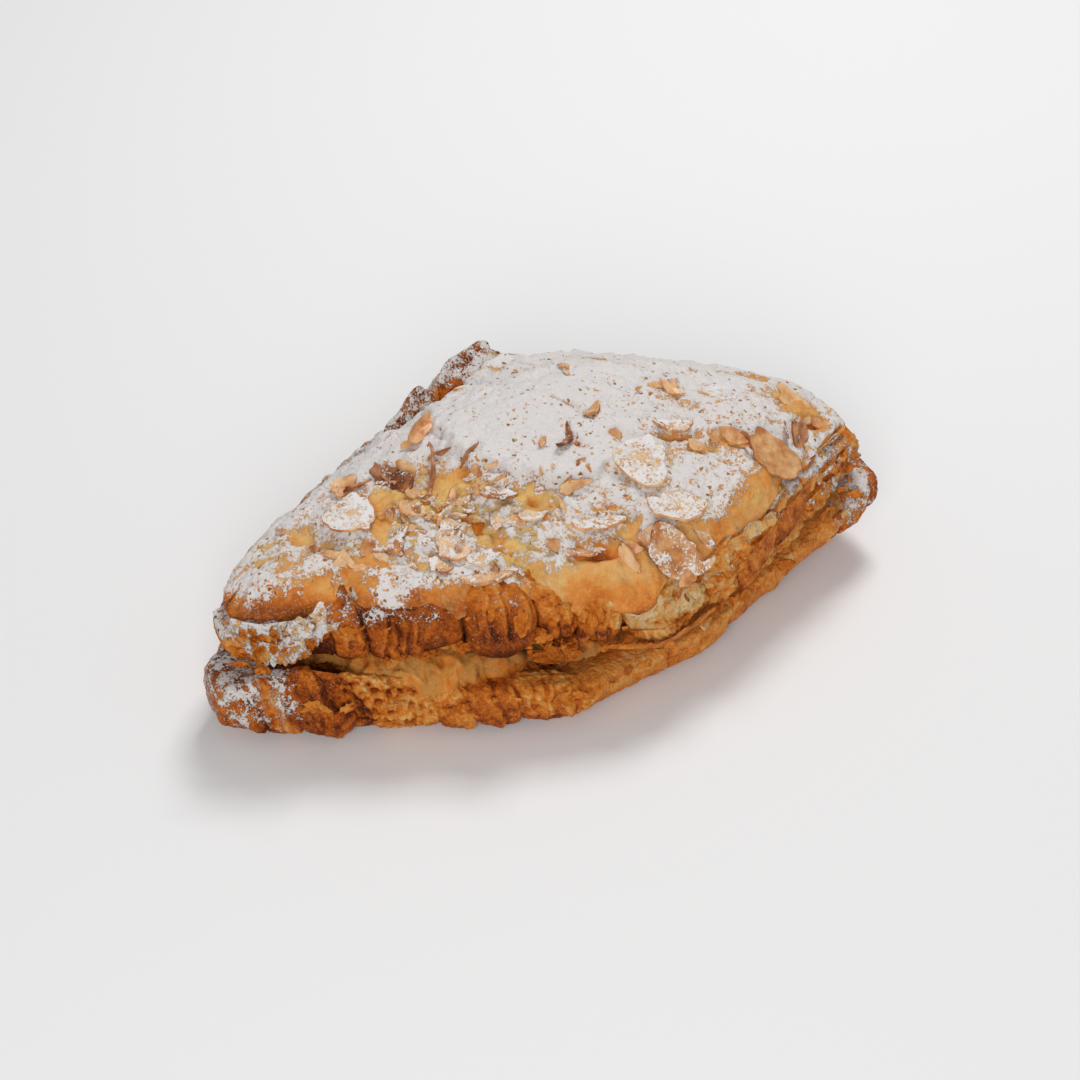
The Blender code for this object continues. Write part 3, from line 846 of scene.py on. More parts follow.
def lid_shoulder(x, y):
    """Height of the upper half's top edge, which sags at the front right."""
    s = np.clip(x / HALF_LENGTH, -1, 1)
    drop = np.where(s > 0, LID_RIGHT_DROP, LID_LEFT_DROP) * np.abs(s) ** 3
    return LID_HEIGHT - drop - SAG * hill(x, y, 32, -44, 42, 16)


def lid_top(x, y):
    """The shoulder, crowned towards the middle, with the fold that stands up at the back."""
    s = np.minimum(1, np.abs(x / HALF_LENGTH))
    v = np.minimum(1, np.abs(across(LID, x, y)))
    crown = LID_CROWN * (1 - s**2.5) * (1 - v**2.5)
    return lid_shoulder(x, y) + crown + FOLD * hill(x, y, 3, 49, 17, 8)


lid_grid = layer(
    LID, 560, 170, (45, 6, 0.22, 0.16),
    rim=lambda x, y: 0.45 * lid_underside(x, y) + 0.55 * lid_shoulder(x, y),
    under=lid_underside,
    over=lid_top,
    bulge=lambda s, side: 0 * s,
)
facing = normals(lid_grid)
wall = smooth(0.25, 0.75, np.hypot(facing[..., 0], facing[..., 1]))
x, y, z = np.moveaxis(lid_grid, -1, 0)
front = smooth(-4, -18, y)
bulge, out, _, ribs, roll_bake, crumb = lid_rolls(x + 0.8 * rough(lid_grid, 7, 2, 290), y, z)
sponge = front * smooth(-4, 2, x) * smooth(32, 26, x)
sponge = sponge * smooth(20.5, 23, z + 0.7 * rough(lid_grid, 5, 2, 291))
crumb = np.maximum(crumb, 0.75 * sponge)
calm = 1 - 0.72 * front * smooth(-65, -61, x) * smooth(-12, -18, x) - 0.4 * front * smooth(30, 45, x)
relief, baked = crust_relief(lid_grid, out, ribs, crumb, bulge, 300, calm)
ragged_x = x + 1.5 * rough(lid_grid, 5, 3, 292)
folded, fold_bake = flaps(ragged_x, z + 2.0 * rough(lid_grid, 3, 2, 293), LID_FLAPS)
wavy_z = z - 0.10 * x + 1.1 * rough(lid_grid * (0.5, 0.5, 1), 5, 3, 294)
strata = lines(wavy_z / 1.5, 295, 0.8) * front * smooth(28, 40, x)
crease = smooth(0.45, 0.0, bulge)
relief = relief - 2.4 * crease * (1 - 0.6 * smooth(20, 34, x)) - 1.0 * sponge
relief = relief + front * folded + 0.45 * strata
# Painted shade: darker in the creases between the rolls, where the crust faces down, and low on the front
# wall (the low mask). Raised strata are lighter, a painted highlight, and at the front the crust is
# lighter towards its top edge.
bake = roll_bake + baked + 0.30 * crease - 0.40 * sponge + 0.10 * smooth(0.1, -0.7, facing[..., 2])
bake = bake - 0.12 * front * smooth(30, 60, x) * smooth(26, 31, z) + front * fold_bake - 0.14 * strata
low = 0.16 * smooth(25, 19, z) * smooth(24, 0, x) + 0.10 * bell(x, -24, 9) * smooth(31, 26, z)
bake = bake + front * low
bake = bake - 0.20 * front * bell(x, -20, 14) * smooth(26, 33, z)
relief = relief * (0.25 + 0.75 * wall)
lid_grid = raised(lid_grid, relief)
sugar = 0.75 * smooth(0.0, 0.6, facing[..., 2]) * (smooth(-60, -74, x) + smooth(8, 22, y))
ledge = front * smooth(29.0, 31.0, z) * smooth(0.3, 0.8, facing[..., 2])
sugar = sugar + ledge * table_at(x, LEDGE_SUGAR)
sugar = sugar - 1.0 * hill(x, y, -5, 42, 8, 2.2, 45) - 0.8 * hill(x, y, 18, 44, 3, 4)
sugar = sugar + 0.42 * rough(lid_grid, 3, 3, 360) * (sugar > 0.05)
piece(
    "upper_half", [closed_grid(lid_grid, bake=bake, sugar=sugar)], CRUST,
    replaces=["croissant_lid"],
)


# ---------------------------------------------------------------------------------------
# Loose layers. Outermost sheets of the dough, thinner than a millimetre, that lifted from the
# edges as they baked: a ragged eave on the left, smooth plates on the right, lips and shreds.

# Points along the fixed edge and along the free edge: x, how far outside the edge of the
# upper half, and z. Then the bake value, how ragged the free edge is in mm, and the sugar.
SHEETS = (
    (((-86, -2, 32.6), (-79, -1.5, 30.8), (-73, -1, 31.6), (-67, -0.5, 30.9), (-60, 0, 32.6)),
     ((-85, 3.4, 29), (-79, 4.6, 23.5), (-73, 4.6, 24), (-67, 4.0, 28), (-61, 2.0, 32)), 0.32, 1.7, 0.78),
    (((-84, -1.5, 33.8), (-78, -1, 32.2), (-72, -0.5, 33.0), (-66, -0.5, 32.4)),
     ((-86, 3.2, 31.2), (-78, 3.4, 29.2), (-72, 2.4, 30.4), (-66, 2.5, 30)), 0.32, 1.7, 0.70),
    (((-20, 0.5, 19.5), (-14, 0.5, 19), (-8, 0.5, 21)),
     ((-20, 3.2, 17.0), (-14, 3.6, 17), (-8, 2.8, 20)), 0.66, 1.0, 0.0),
    (((-17, 0, 21.5), (-13, 0.5, 21.5), (-9, 0.5, 23)),
     ((-17, 2.6, 19.5), (-13, 2.8, 19.5), (-8, 2.4, 21.5)), 0.60, 1.2, 0.0),
    (((-4, 1.2, 18), (8, 1.5, 16), (20, 1.2, 15), (30, 1, 15.5)),
     ((-2, 3.0, 21), (8, 3.4, 19.5), (19, 3.2, 19), (29, 2.2, 19)), 0.56, 0.9, 0.0),
    (((2, 0.5, 22), (12, 0.5, 20.5), (24, 0.5, 20)),
     ((2, 2.4, 23), (12, 2.8, 22), (24, 2.2, 21.5)), 0.48, 0.7, 0.05),
    (((37, 1, 24), (44, 1.5, 27), (52, 1, 30)),
     ((35.5, 2.6, 17.5), (41, 3.2, 18), (50, 2.4, 22.5)), 0.60, 0.5, 0.0),
    (((49, 1, 28), (56, 1.2, 31), (64, 0.5, 33)),
     ((48, 2.6, 22), (55, 2.8, 24), (64, 1.4, 29)), 0.66, 0.5, 0.0),
    (((61, 1, 27), (70, 1.2, 29), (78, 0.5, 30)),
     ((61, 3.0, 24), (70, 3.0, 25.5), (79, 1.6, 27)), 0.52, 1.0, 0.3),
    (((66, 0.5, 31), (74, 0.5, 32), (81, 0, 32)),
     ((66, 2.8, 29), (75, 2.8, 29.5), (83, 1.6, 30)), 0.46, 1.2, 0.45),
    (((27, 0.5, 26), (34, 0.8, 26), (42, 0.5, 29)),
     ((27, 2.6, 24), (34, 3.0, 24.5), (42, 2.4, 27)), 0.48, 1.0, 0.2),
)


def path(points, share):
    """A smooth curve through given points: cubic Hermite, with central slopes."""
    points = np.array(points, float)
    slopes = np.gradient(points, axis=0)
    at = np.clip(share, 0, 1) * (len(points) - 1)
    index = np.minimum(at.astype(int), len(points) - 2)
    t = (at - index)[..., None]
    a, b, u, v = points[index], points[index + 1], slopes[index], slopes[index + 1]
    return (
        a * (1 + 2 * t) * (1 - t) ** 2 + b * t**2 * (3 - 2 * t)
        + u * t * (1 - t) ** 2 - v * t**2 * (1 - t)
    )


def sheet_grid(fixed, free, ragged, seed, thick=0.55, rows=90, steps=18):
    """A thin sheet ruled between its fixed and its free edge, wavy, with a torn free edge. Each
    row goes down the outer face and back up the inner one."""
    u = np.linspace(0, 1, rows)[:, None]
    fall = np.linspace(0, 1, steps)
    v = np.concatenate([fall, fall[::-1]])[None]
    face = np.concatenate([np.ones(steps), -np.ones(steps)])[None]
    top, end = path(fixed, u[:, 0])[:, None], path(free, u[:, 0])[:, None]
    length = np.linalg.norm(end - top, axis=-1)
    torn = ragged * rough(np.stack([top[..., 0], 0 * length, 0 * length + seed], -1), 3.0, 4, seed, 0.7)
    reach = 1 - np.abs(torn) / length
    reach = reach * (0.25 + 0.75 * (1 - np.abs(2 * u - 1) ** 6))
    place = top + (end - top) * (v * reach)[..., None]
    x, out, z = np.moveaxis(place, -1, 0)
    y = edges_at(LID, x, 0.999)[0] - out
    grid = np.stack([x, y, z], -1)
    wave = rough(grid, 5, 3, seed + 1) * (0.4 + 0.4 * ragged)
    wave = wave + 0.24 * ragged * ridges(grid, 1.8, 3, seed + 2)
    grid[..., 1] -= wave * (0.3 + 0.7 * v)
    grid[..., 2] += 0.4 * wave
    pit, deep = cells(grid + 0.7 * rough(grid, 3, 2, seed + 4)[..., None], 2.5, seed + 5)
    comb = smooth(0.60, 0.30, pit) * (deep > 0.25) * min(1, max(0, ragged - 0.9) * 3)
    grid[..., 1] += 1.1 * comb
    grid[..., 2] -= 0.8 * comb
    half = thick / 2 * (1.2 - 0.7 * v)
    grid[..., 1] -= face * half * 0.8
    grid[..., 2] += face * half * 0.6
    return grid, v + 0 * u, comb


parts = []
for number, (fixed, free, baked, ragged, dust) in enumerate(SHEETS):
    seed = 700 + 10 * number
    grid, fall, comb = sheet_grid(fixed, free, ragged, seed)
    # Painted shade darkens the pits of the honeycomb; the ridges that stand out are lighter, a painted
    # highlight.
    mottle = rough(grid, 3, 3, seed + 5) - 0.6 * ridges(grid, 1.8, 3, seed + 2)
    bake = baked + 0.16 * mottle + 0.12 * fall**4 + 0.34 * comb
    drift = 0.55 * rough(grid, 2.4, 3, seed + 6) * (dust > 0)
    sugar = dust * (1.12 - 0.46 * fall) + drift - 0.7 * comb
    parts.append(closed_grid(grid, bake=bake, sugar=sugar))
piece("loose_layers", parts, CRUST)


# ---------------------------------------------------------------------------------------
# Shreds. Small curled scraps of the outer layers, 2 to 6 mm long and thin as paper, that stay
# rooted in the rims of both halves and catch the light.


def crooked(rng, turn, height, most):
    """Waves round an outline: cosines of 2 to that many lobes, each of random height and phase."""
    waves = (rng.normal() * height * np.cos(k * turn + rng.uniform(0, 6)) for k in range(2, most + 1))
    return sum(waves)


def scrap_grid(length, width, curl, seed, rings=6, spokes=18, thick=0.36, torn=0.09):
    """A torn scrap: a thin crooked oval, rolled about its length and bent along it."""
    rng = np.random.default_rng(seed)
    turn = np.linspace(0, 2 * np.pi, spokes, endpoint=False)
    wave = crooked(rng, turn, torn, 8)
    span = np.linspace(0, 1, rings)
    reach = np.concatenate([span, span[-2::-1]])[:, None]
    face = np.concatenate([np.ones(rings), -np.ones(rings - 1)])[:, None]
    u = reach * (1 + wave) * np.cos(turn)
    v = reach * (1 + wave) * np.sin(turn)
    w = face * np.sqrt(np.maximum(0, 1 - reach**4)) * thick / 2
    w = w + curl * (v**2 + 0.5 * u**2 + 0.4 * rng.normal() * u * v) + 0.12 * rng.normal() * u
    return np.stack([u * length / 2, v * width / 2, w], -1)


def turned(grid, turn, tilt, pitch=0.0):
    """The grid pitched about Y, then tilted about X, then turned about Z, in degrees."""
    (ct, st), (ci, si), (cp, sp) = (
        (math.cos(math.radians(a)), math.sin(math.radians(a))) for a in (turn, tilt, pitch)
    )
    about_z = np.array([[ct, -st, 0], [st, ct, 0], [0, 0, 1]])
    about_x = np.array([[1, 0, 0], [0, ci, -si], [0, si, ci]])
    about_y = np.array([[cp, 0, sp], [0, 1, 0], [-sp, 0, cp]])
    return grid @ (about_z @ about_x @ about_y).T


SHRED_COUNT = 130
rng = np.random.default_rng(60)
parts = []
for number in range(SHRED_COUNT):
    level = rng.choice(["lid low", "lid high", "base top", "wall"], p=[0.34, 0.22, 0.26, 0.18])
    px = float(rng.uniform(-84, 84))
    shape, front_side = (BASE if level == "base top" else LID), rng.random() < 0.8
    near = edges(shape, np.array([px - 1, px, px + 1]) / shape["half"])[0 if front_side else 1]
    out = -1 if front_side else 1
    py = float(near[1]) + out * rng.uniform(0.2, 1.8)
    floor_z = float(lid_underside(np.array(px), near[1:2] * 0.98)[0])
    shoulder = float(lid_shoulder(np.array(px), near[1:2])[0])
    pz = {
        "lid low": floor_z + rng.uniform(0, 1.5),
        "lid high": shoulder - rng.uniform(0, 2.0),
        "base top": float(lower_cut(np.array(px))) - rng.uniform(0, 1.6),
        "wall": rng.uniform(floor_z, shoulder),
    }[level]
    size = rng.uniform(2.0, 5.5)
    heading = math.degrees(math.atan2(near[2] - near[0], 2)) + rng.normal() * 22
    grid = turned(
        scrap_grid(size, size * rng.uniform(0.35, 0.6), rng.uniform(0.1, 0.6), 610 + number),
        heading, rng.normal(72, 20) * -out, rng.normal() * 14,
    ) + (px, py, pz)
    baked = rng.uniform(0.46, 0.74) + 0.1 * rough(grid, 2.5, 2, 611 + number)
    dust = 0.6 * (level == "lid high") * rng.random() * smooth(0.0, 0.5, grid[..., 2] - pz)
    parts.append(closed_grid(grid, bake=baked, sugar=dust))
# Larger curls: the edge that each stands on, its x, how far outside that edge, z, length, width,
# curl in mm, heading, tilt, pitch, bake and sugar.
CURLS = (
    ("lid", -28.5, 3.2, 31.5, 3.4, 5.5, -0.5, -30, 70, 10, 0.56, 0.0),
    ("lid", -22.5, 4.6, 31.0, 3.6, 6.5, 0.9, -24, 66, -8, 0.54, 0.0),
    ("lid", -6.0, 3.2, 27.0, 3.0, 6.0, -0.6, -20, 80, 6, 0.62, 0.0),
    ("lid", -14.0, 3.0, 18.5, 12.0, 4.4, 0.9, -8, 24, 6, 0.68, 0.0),
    ("lid", 37.0, 0.8, 31.0, 7.0, 3.4, 0.8, 14, 45, -5, 0.34, 0.1),
    ("lid", 42.0, 1.2, 32.0, 8.0, 3.6, 0.8, 20, 40, 0, 0.26, 0.3),
    ("lid", 47.5, 1.2, 31.5, 6.0, 3.2, 0.8, 24, 50, 5, 0.32, 0.2),
    ("lid", -70.5, 3.0, 33.0, 6.0, 5.5, 0.7, -20, 34, 0, 0.16, 0.72),
    ("base", -64.0, 0.2, 6.0, 9.0, 7.0, -0.8, -18, 80, 24, 0.76, 0.0),
    ("base", 27.0, 2.6, 12.0, 5.0, 4.0, 0.3, 24, 55, 20, 0.06, 0.0),
    ("back", 1.0, -6.5, 38.5, 25.0, 11.0, 3.0, 36, 30, -8, 0.76, 0.62),
    ("back", -18.0, -5.0, 34.0, 27.0, 9.5, 2.4, 40, 34, -10, 0.76, 0.56),
)
for number, (where, px, out, pz, *size, curl, heading, tilt, pitch, baked, dust) in enumerate(CURLS):
    shape = BASE if where == "base" else LID
    near, far = edges(shape, px / shape["half"])
    py = far + out if where == "back" else near - out
    thick, creased = (3.0, 0.5) if where == "back" else (0.7, 0.12)
    grid = scrap_grid(*size, curl, 640 + number, 14, 56, thick, 0.035)
    grid[..., 2] += creased * ridges(grid * (0.4, 1, 1) + number, 3.4, 3, 650 + number)
    grid = turned(grid, heading, tilt, pitch) + (px, py, pz)
    mottle = rough(grid, 3, 3, 660 + number)
    dusted = dust + 0.4 * rough(grid, 2.4, 3, 680 + number) * (dust > 0)
    if where == "back":
        dusted = dusted * smooth(pz - 0.5, pz + 2.0, grid[..., 2] + 0.15 * (grid[..., 0] - px))
    parts.append(closed_grid(grid, bake=baked + 0.16 * mottle, sugar=dusted))
piece("crust_shreds", parts, CRUST)


# ---------------------------------------------------------------------------------------
# Topping. More almond cream, spread over the top before baking: it rose into smooth lobes
# that lap over the edge, stayed moist and yellow in the hollow, and was dusted with sugar.

TOPPING = {
    "half": 82.8,
    "tips_y": (-13.58, -8.58),
    "tips_z": (30.0, 34.0),
    "front": (0.10, 33.5, 1.05, 1.08, 7.0, 5.0),
    "back": (0.36, 49.0, 1.26, 1.40, 9.0, 9.5),
    "blunt": 4.0,
    "square": 0.80,
    "shoulder": 0.80,
}
# Lobes of the front edge, each from its x to the next one's: how far it laps down over the
# crust, how baked its face is (browner as the face turns from up, partly painted shade), and
# the radius of its shoulder in mm.
TOPPING_ROLLS = (
    (-83, 5, 0.64, 9), (-57, 2.6, 0.64, 7), (-28, 3, 0.66, 3.5),
    (-17.5, 3, 0.54, 12), (17, 0.6, 0.5, 6), (34, 1.4, 0.44, 8),
    (57, 0.4, 0.52, 5), (67, 0.4, 0.46, 5), (83.5,),
)
# Lobes of the back edge, in the same columns.
TOPPING_BACK_ROLLS = (
    (-83, 1, 0.54, 6), (-62, 1, 0.5, 6), (-30, 0.8, 0.5, 6),
    (-8, 0, 0.54, 6), (16, 1, 0.5, 6), (44, 1, 0.5, 6),
    (66, 0.8, 0.5, 6), (83.5,),
)
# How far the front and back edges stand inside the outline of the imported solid: x, and mm.
TOPPING_EDGE = (
    (-83, 7.0), (-80, 5.0), (-75, 2.8), (-68, 3.0), (-62, 3.4), (-57, 4.6), (-54, 2.0), (-50, -1.2),
    (-44, -1.2), (-38, -0.6), (-32, 0.0), (-28, 1.6), (-22, 0.6), (-17.5, 2.4), (-13, 0.8), (-8, -0.6),
    (-3, 0.8), (3, -0.6), (9, 0.8), (14, 3.0), (19, 3.4), (26, 1.2), (33, 3.0), (40, 2.2), (48, 1.2),
    (54, 2.4), (58, 4.8), (65, 3.0), (70, 4.2), (76, 5.0), (83, 6.0),
)
TOPPING_BACK_EDGE = (
    (-83, 0), (-72, 0), (-60, 0.8), (-52, 3.2), (-44, 1.6), (-30, 0.5), (-20, 0), (0, 0), (83, 0),
)
HOLLOWS = (  # x, y, half sizes, turn in degrees and depth of the places that stayed moist
    (-29, -17, 14, 13, 0, 1), (-7, -21, 10, 5, 0, 0.9), (10, -31, 6, 4, 0, 0.6), (-16, -31, 6, 5, 0, 0.8),
)
HOLES = (  # x, y, half sizes, turn and depth of the holes where the cream tore open
    (2, -37.5, 5, 1.6, -10, 1.3), (73, -8.5, 2.2, 1.8, 0, 1), (8, -9, 3, 1.4, -50, 0.7),
)
MOUNDS = (  # x, y, half sizes, turn and height of each rise or hollow of the cream
    (-72, -17, 9, 9, 0, 2.8), (-60, -7, 3.5, 7, 20, -1.4), (-62, -23, 6, 4, -20, 1.2),
    (-56, -24, 2.5, 6, 15, -2.4), (-49, -9, 8, 7, 0, 1.2), (-40, -33, 14, 4.2, -17, 3.4),
    (-38, -26, 14, 4, -16, -1.4), (-1, -43, 15, 5, -4, 3.2), (-3, -35, 12, 2.4, -4, -1.4),
    (24, 42, 10, 6, -20, 2), (46, 31, 8, 6, -30, -2), (-14, -39, 4, 5, 0, -1.4),
    (-30, -19, 14, 9, 0, -3), (-43, -10, 3, 9, -15, -1.8), (-26, -5, 8, 7, 0, -3),
    (-22, -20, 3, 8, 15, -1.6), (-7, -21, 11, 5, -12, -2.6), (-9, -30, 6, 4, 0, 1),
    (11, -32, 5, 4, 0, -2), (4, -23, 8, 4, 0, 0.8), (42, -31, 13, 5.5, 24, 2.4),
    (22, -42, 7, 4, 0, -1.6), (2, 8, 21, 16, 0, 1.8), (32, 24, 16, 12, 0, 1.6),
    (52, -4, 13, 10, 0, 1.2), (22, -18, 9, 7, 0, 1.2), (34, -11, 9, 2.2, -4, -2),
    (14, 3, 1.6, 7, 20, -1.8), (-46, 6, 10, 6, 0, 1.4), (66, -16, 4, 4, 0, -1.8),
    (73, -8, 3, 3, 0, -3), (74, 2, 7, 8, 0, 1.2),
)
BARE = (  # x, y, half sizes, turn and depth of the places that the sugar missed
    (-74, -25.5, 13, 6, -22, 1.7), (-82.5, -15, 3, 7, 0, 0.8), (-61.5, -23.5, 6, 4.6, -20, 1.7),
    (-69, -14, 8, 2.2, -38, 0.45), (-72, -8, 6, 1.6, -34, 0.35), (-65, -12, 7, 1.6, -36, 0.35),
    (-61, -5.5, 2.4, 5, 12, 1.4), (-56, -28, 3, 5, 0, 1.5), (-34, -37.5, 12, 4.6, -17, 1.8),
    (-54, -31, 2.6, 3.5, 0, 1), (-46, -37, 9, 3, -17, 1.6), (-52, -20.5, 6, 2.2, -10, 1.1),
    (-57, -13, 3, 3, 0, 0.6), (-43.5, -11, 2.4, 8, -14, 1.3), (-37, -5, 6, 3, -20, 1),
    (-26, -5, 5, 3.8, 0, 1.5), (-20.5, -6.5, 2.6, 4, 20, 1.3), (-30, -13, 3, 3.4, 0, 1.2),
    (-23, -20, 2.4, 8, 14, 1.3), (-20, -30.5, 4.5, 3.2, 0, 0.7), (-15.5, -35.5, 3.5, 3.4, 0, 0.6),
    (-13, -15.2, 4, 1.1, -25, 0.9), (-7, -19.5, 4.4, 4, 0, 1.5), (-38, -15.5, 3, 3, 0, 0.7),
    (-41, -25, 5, 1.8, -16, 0.6), (3, -44.5, 12.5, 7.8, 2, 2.2), (-12, -43, 5, 4, 0, 1.2),
    (11, -33, 3, 4, 0, 1.1), (22, -43, 11, 6, 12, 1.8), (46, -33.5, 12, 4.8, 27, 2),
    (53, -27.5, 6, 3.6, 27, 1.5), (27, -36.5, 8, 2.4, 0, 0.9), (58, -24, 7, 4, 20, 1),
    (71, -3, 3.8, 7.5, 22, 1.6), (73, -9, 3, 3, 0, 1.3), (68, 12, 6, 2.6, -42, 0.9),
    (34, -10.5, 8, 1.5, -4, 1.1), (38, -16, 3.5, 1.8, 0, 0.8), (47, -15, 5, 2.4, 0, 1),
    (-6, 29, 3.5, 3, 0, 0.9), (7, 37, 2.5, 3.5, 0, 0.8), (13.5, 4, 1, 6, 24, 0.7),
    (39, 8, 4, 4, 0, 0.5), (30.5, 25.3, 5.5, 2.2, -58, 1.3), (15.6, 32.8, 5, 1.2, -50, 1),
    (10.7, 8, 4.5, 0.9, -40, 0.8), (-49, -31, 6, 2, -40, -0.85), (-30, -31, 9, 2, -16, -0.7),
    (-37, -32.5, 8, 2.2, -16, -0.5), (-62, -19, 5, 2.6, -30, -0.6),
)


EDGE_DEPTH, CREAM_DEPTH, PILLOW_DEPTH = 0.4, 4.2, 2.8  # at its edge, further in, on the pillow


def topping_rolls(x, y):
    """The lobes' bulge and columns, blended from the front table to the back one."""
    return blended(smooth(0, -14, y), rolls(x, TOPPING_ROLLS), rolls(x, TOPPING_BACK_ROLLS))


FRONT_LINE = path(TOPPING_EDGE, np.linspace(0, 1, 400))
BACK_LINE = path(TOPPING_BACK_EDGE, np.linspace(0, 1, 400))


def set_back(x, front):
    """How far the topping's front or back edge stands inside its outline at x."""
    return np.where(front, table_at(x, FRONT_LINE), table_at(x, BACK_LINE))


def depth_in(x, y):
    """How far a place is from the topping's nearer long edge, in mm."""
    front, back = edges_at(TOPPING, x)
    return np.maximum(0, np.minimum(y - front, back - y))


def over_hills(x, y, table):
    """The sum of a table's hills, each times its own height in the last column."""
    return sum(height * hill(x, y, *place) for *place, height in table)


def topping_top(x, y):
    """The upper half's top, raised by the depth of the cream, by the mounds and by the thick
    plateau, rounded off along the edge, and creased between the lobes."""
    bulge, *_, radius = topping_rolls(x, y)
    inside = np.maximum(0, depth_in(x, y) - set_back(x, across(TOPPING, x, y) < 0))
    round_off = np.sqrt(1 - (1 - np.minimum(1, inside / radius)) ** 2)
    crease = 3.8 * (1 - bulge**2.2) ** 2 * np.exp(-((inside / 9) ** 2)) * smooth(-6, -14, y)
    depth = (CREAM_DEPTH + over_hills(x, y, MOUNDS)) * round_off
    return lid_top(x, y) + EDGE_DEPTH + depth - crease + PILLOW_DEPTH * plateau(x, y)


def from_pillow(x, y):
    """How far out a place is from the middle of the thick pillow of cream: 1 all round the
    ellipse where it ends."""
    return np.hypot((x - 12) / 32, (y - 11) / 30)


def plateau(x, y):
    """1 on the pillow, falling in a steep crooked step at its left and front, and slowly towards
    the right and the back."""
    crooked = 0.06 * rough(np.stack([x, y, 0 * x], -1), 7, 3, 395)
    return smooth(1.02, 0.97, from_pillow(x, y) + crooked) * smooth(42, 12, x) * smooth(44, 20, y)


def topping_rim(x, y):
    """The edge's own height: at a lobe it laps down over the crust."""
    bulge, lap, *_ = topping_rolls(x, y)
    return lid_top(x, y) + 1.0 - lap * bulge


topping_grid = layer(
    TOPPING, 400, 240, (46, 4, 1.0, 0.10),
    rim=topping_rim,
    under=lambda x, y: topping_rim(x, y) - 2.2,
    over=topping_top,
    bulge=lambda s, side: -np.abs(side) ** 6 * set_back(s * TOPPING["half"], side < 0),
)
facing = normals(topping_grid)
x, y, z = np.moveaxis(topping_grid, -1, 0)
bulge, _, roll_bake, _ = topping_rolls(x, y)
inner = np.minimum(1, depth_in(x, y) / 6)
hollow = over_hills(x, y, HOLLOWS)
hollow = np.clip(hollow + 0.35 * rough(topping_grid, 5, 2, 401) * (hollow > 0.05), 0, 1)
lumps = rough(topping_grid, 8, 3, 400)
clot, _ = cells(topping_grid + 0.8 * rough(topping_grid, 3, 2, 405)[..., None], 3.8, 410)
plain = plateau(x, y)
missed = over_hills(x, y, BARE)
relief = (0.7 + 0.7 * smooth(12, 26, y)) * lumps * (1 - 0.4 * plain) + 2.1 * hollow * (1.0 - 1.9 * clot)
relief = relief + 0.20 * rough(topping_grid, 1.6, 3, 420)
relief = relief + 0.42 * rough(topping_grid, 3.2, 2, 421) * inner
relief = relief - 0.9 * smooth(0.35, 0.0, bulge) * (1 - inner) * (y < -10)
hole = over_hills(x, y, HOLES)
relief = relief - 2.0 * hole
sugar = 0.86 + 0.30 * plain + 0.24 * smooth(-4, 14, y)
sugar = sugar + 0.30 * rough(topping_grid, 6, 2, 430) * (1 - 0.7 * plain)
sugar = sugar + (0.34 + 0.26 * hollow) * rough(topping_grid, 2.2, 3, 440, 0.7) * (1 - 0.6 * plain)
sugar = sugar - 0.06 * hollow - 0.20 * hollow * smooth(0.25, 0.6, clot)
sugar = sugar - (0.9 - 0.25 * hollow) * missed - hole
ledge = smooth(1.4, 1.1, from_pillow(x, y))
sugar = np.clip(sugar, -0.3, 1.3) * smooth(0.28, 0.70, facing[..., 2] + 0.6 * ledge)
relief = relief + 0.45 * smooth(0.35, 0.60, sugar)
topping_grid = raised(topping_grid, relief)
# Painted shade: the lobes' faces grow browner as they turn from up, partly for their bake; the sunken
# clots of the hollow and the holes are darker; the dome's top is lighter, a painted highlight, and its
# face darker. The faces of the left lobe and the pillow are browner, partly bake and partly painted
# shade.
face = smooth(0.80, 0.1, facing[..., 2])
bake = 0.32 + (roll_bake - 0.28) * face + 0.16 * lumps + 0.08 * rough(topping_grid, 14, 2, 445)
bake = bake - 0.10 * hollow + 0.30 * hollow * smooth(0.45, 0.8, clot) + 0.4 * hole
bake = bake - 0.08 * hill(x, y, 0, -39, 13, 3.5, -3) + 0.22 * hill(x, y, -3, -47, 16, 4, -3)
bake = bake + 0.56 * hill(x, y, -73, -27, 14, 7, -20) + 0.30 * hill(x, y, -37, -38, 13, 5, -14)
bake = np.minimum(bake + 0.32 * hill(x, y, -82, -17, 5, 9), 0.80)


def moist(place, colour):
    """Baked cream is milkier than crust; it turns egg yellow where it stayed moist."""
    speck = between(grain(place, 1500, 2), 0.50, 0.68, 0.06, 0.42)
    colour = mixed(speck, colour, (0.88, 0.46, 0.19, 1))
    patch = between(grain(place, 170, 3), 0.30, 0.56)
    wet = stored(place.tree, "moist").math("MULTIPLY", 1.35, clamp=True)
    return mixed(patch * wet, colour, (0.86, 0.58, 0.19, 1))


TOP = baked_material("baked topping", 0.48, 0.16, 0.7, under=moist, subsurface=0.12)
topping = piece(
    "topping", [closed_grid(topping_grid, bake=bake, sugar=sugar, moist=hollow)], TOP,
    replaces=["almond_cream_topping"],
)


# ---------------------------------------------------------------------------------------
# Sliced almonds. Thin cross cuts of the nut, pressed into the cream and toasted in the oven:
# cupped and pale, with a darker rim, and browner where they stand up.

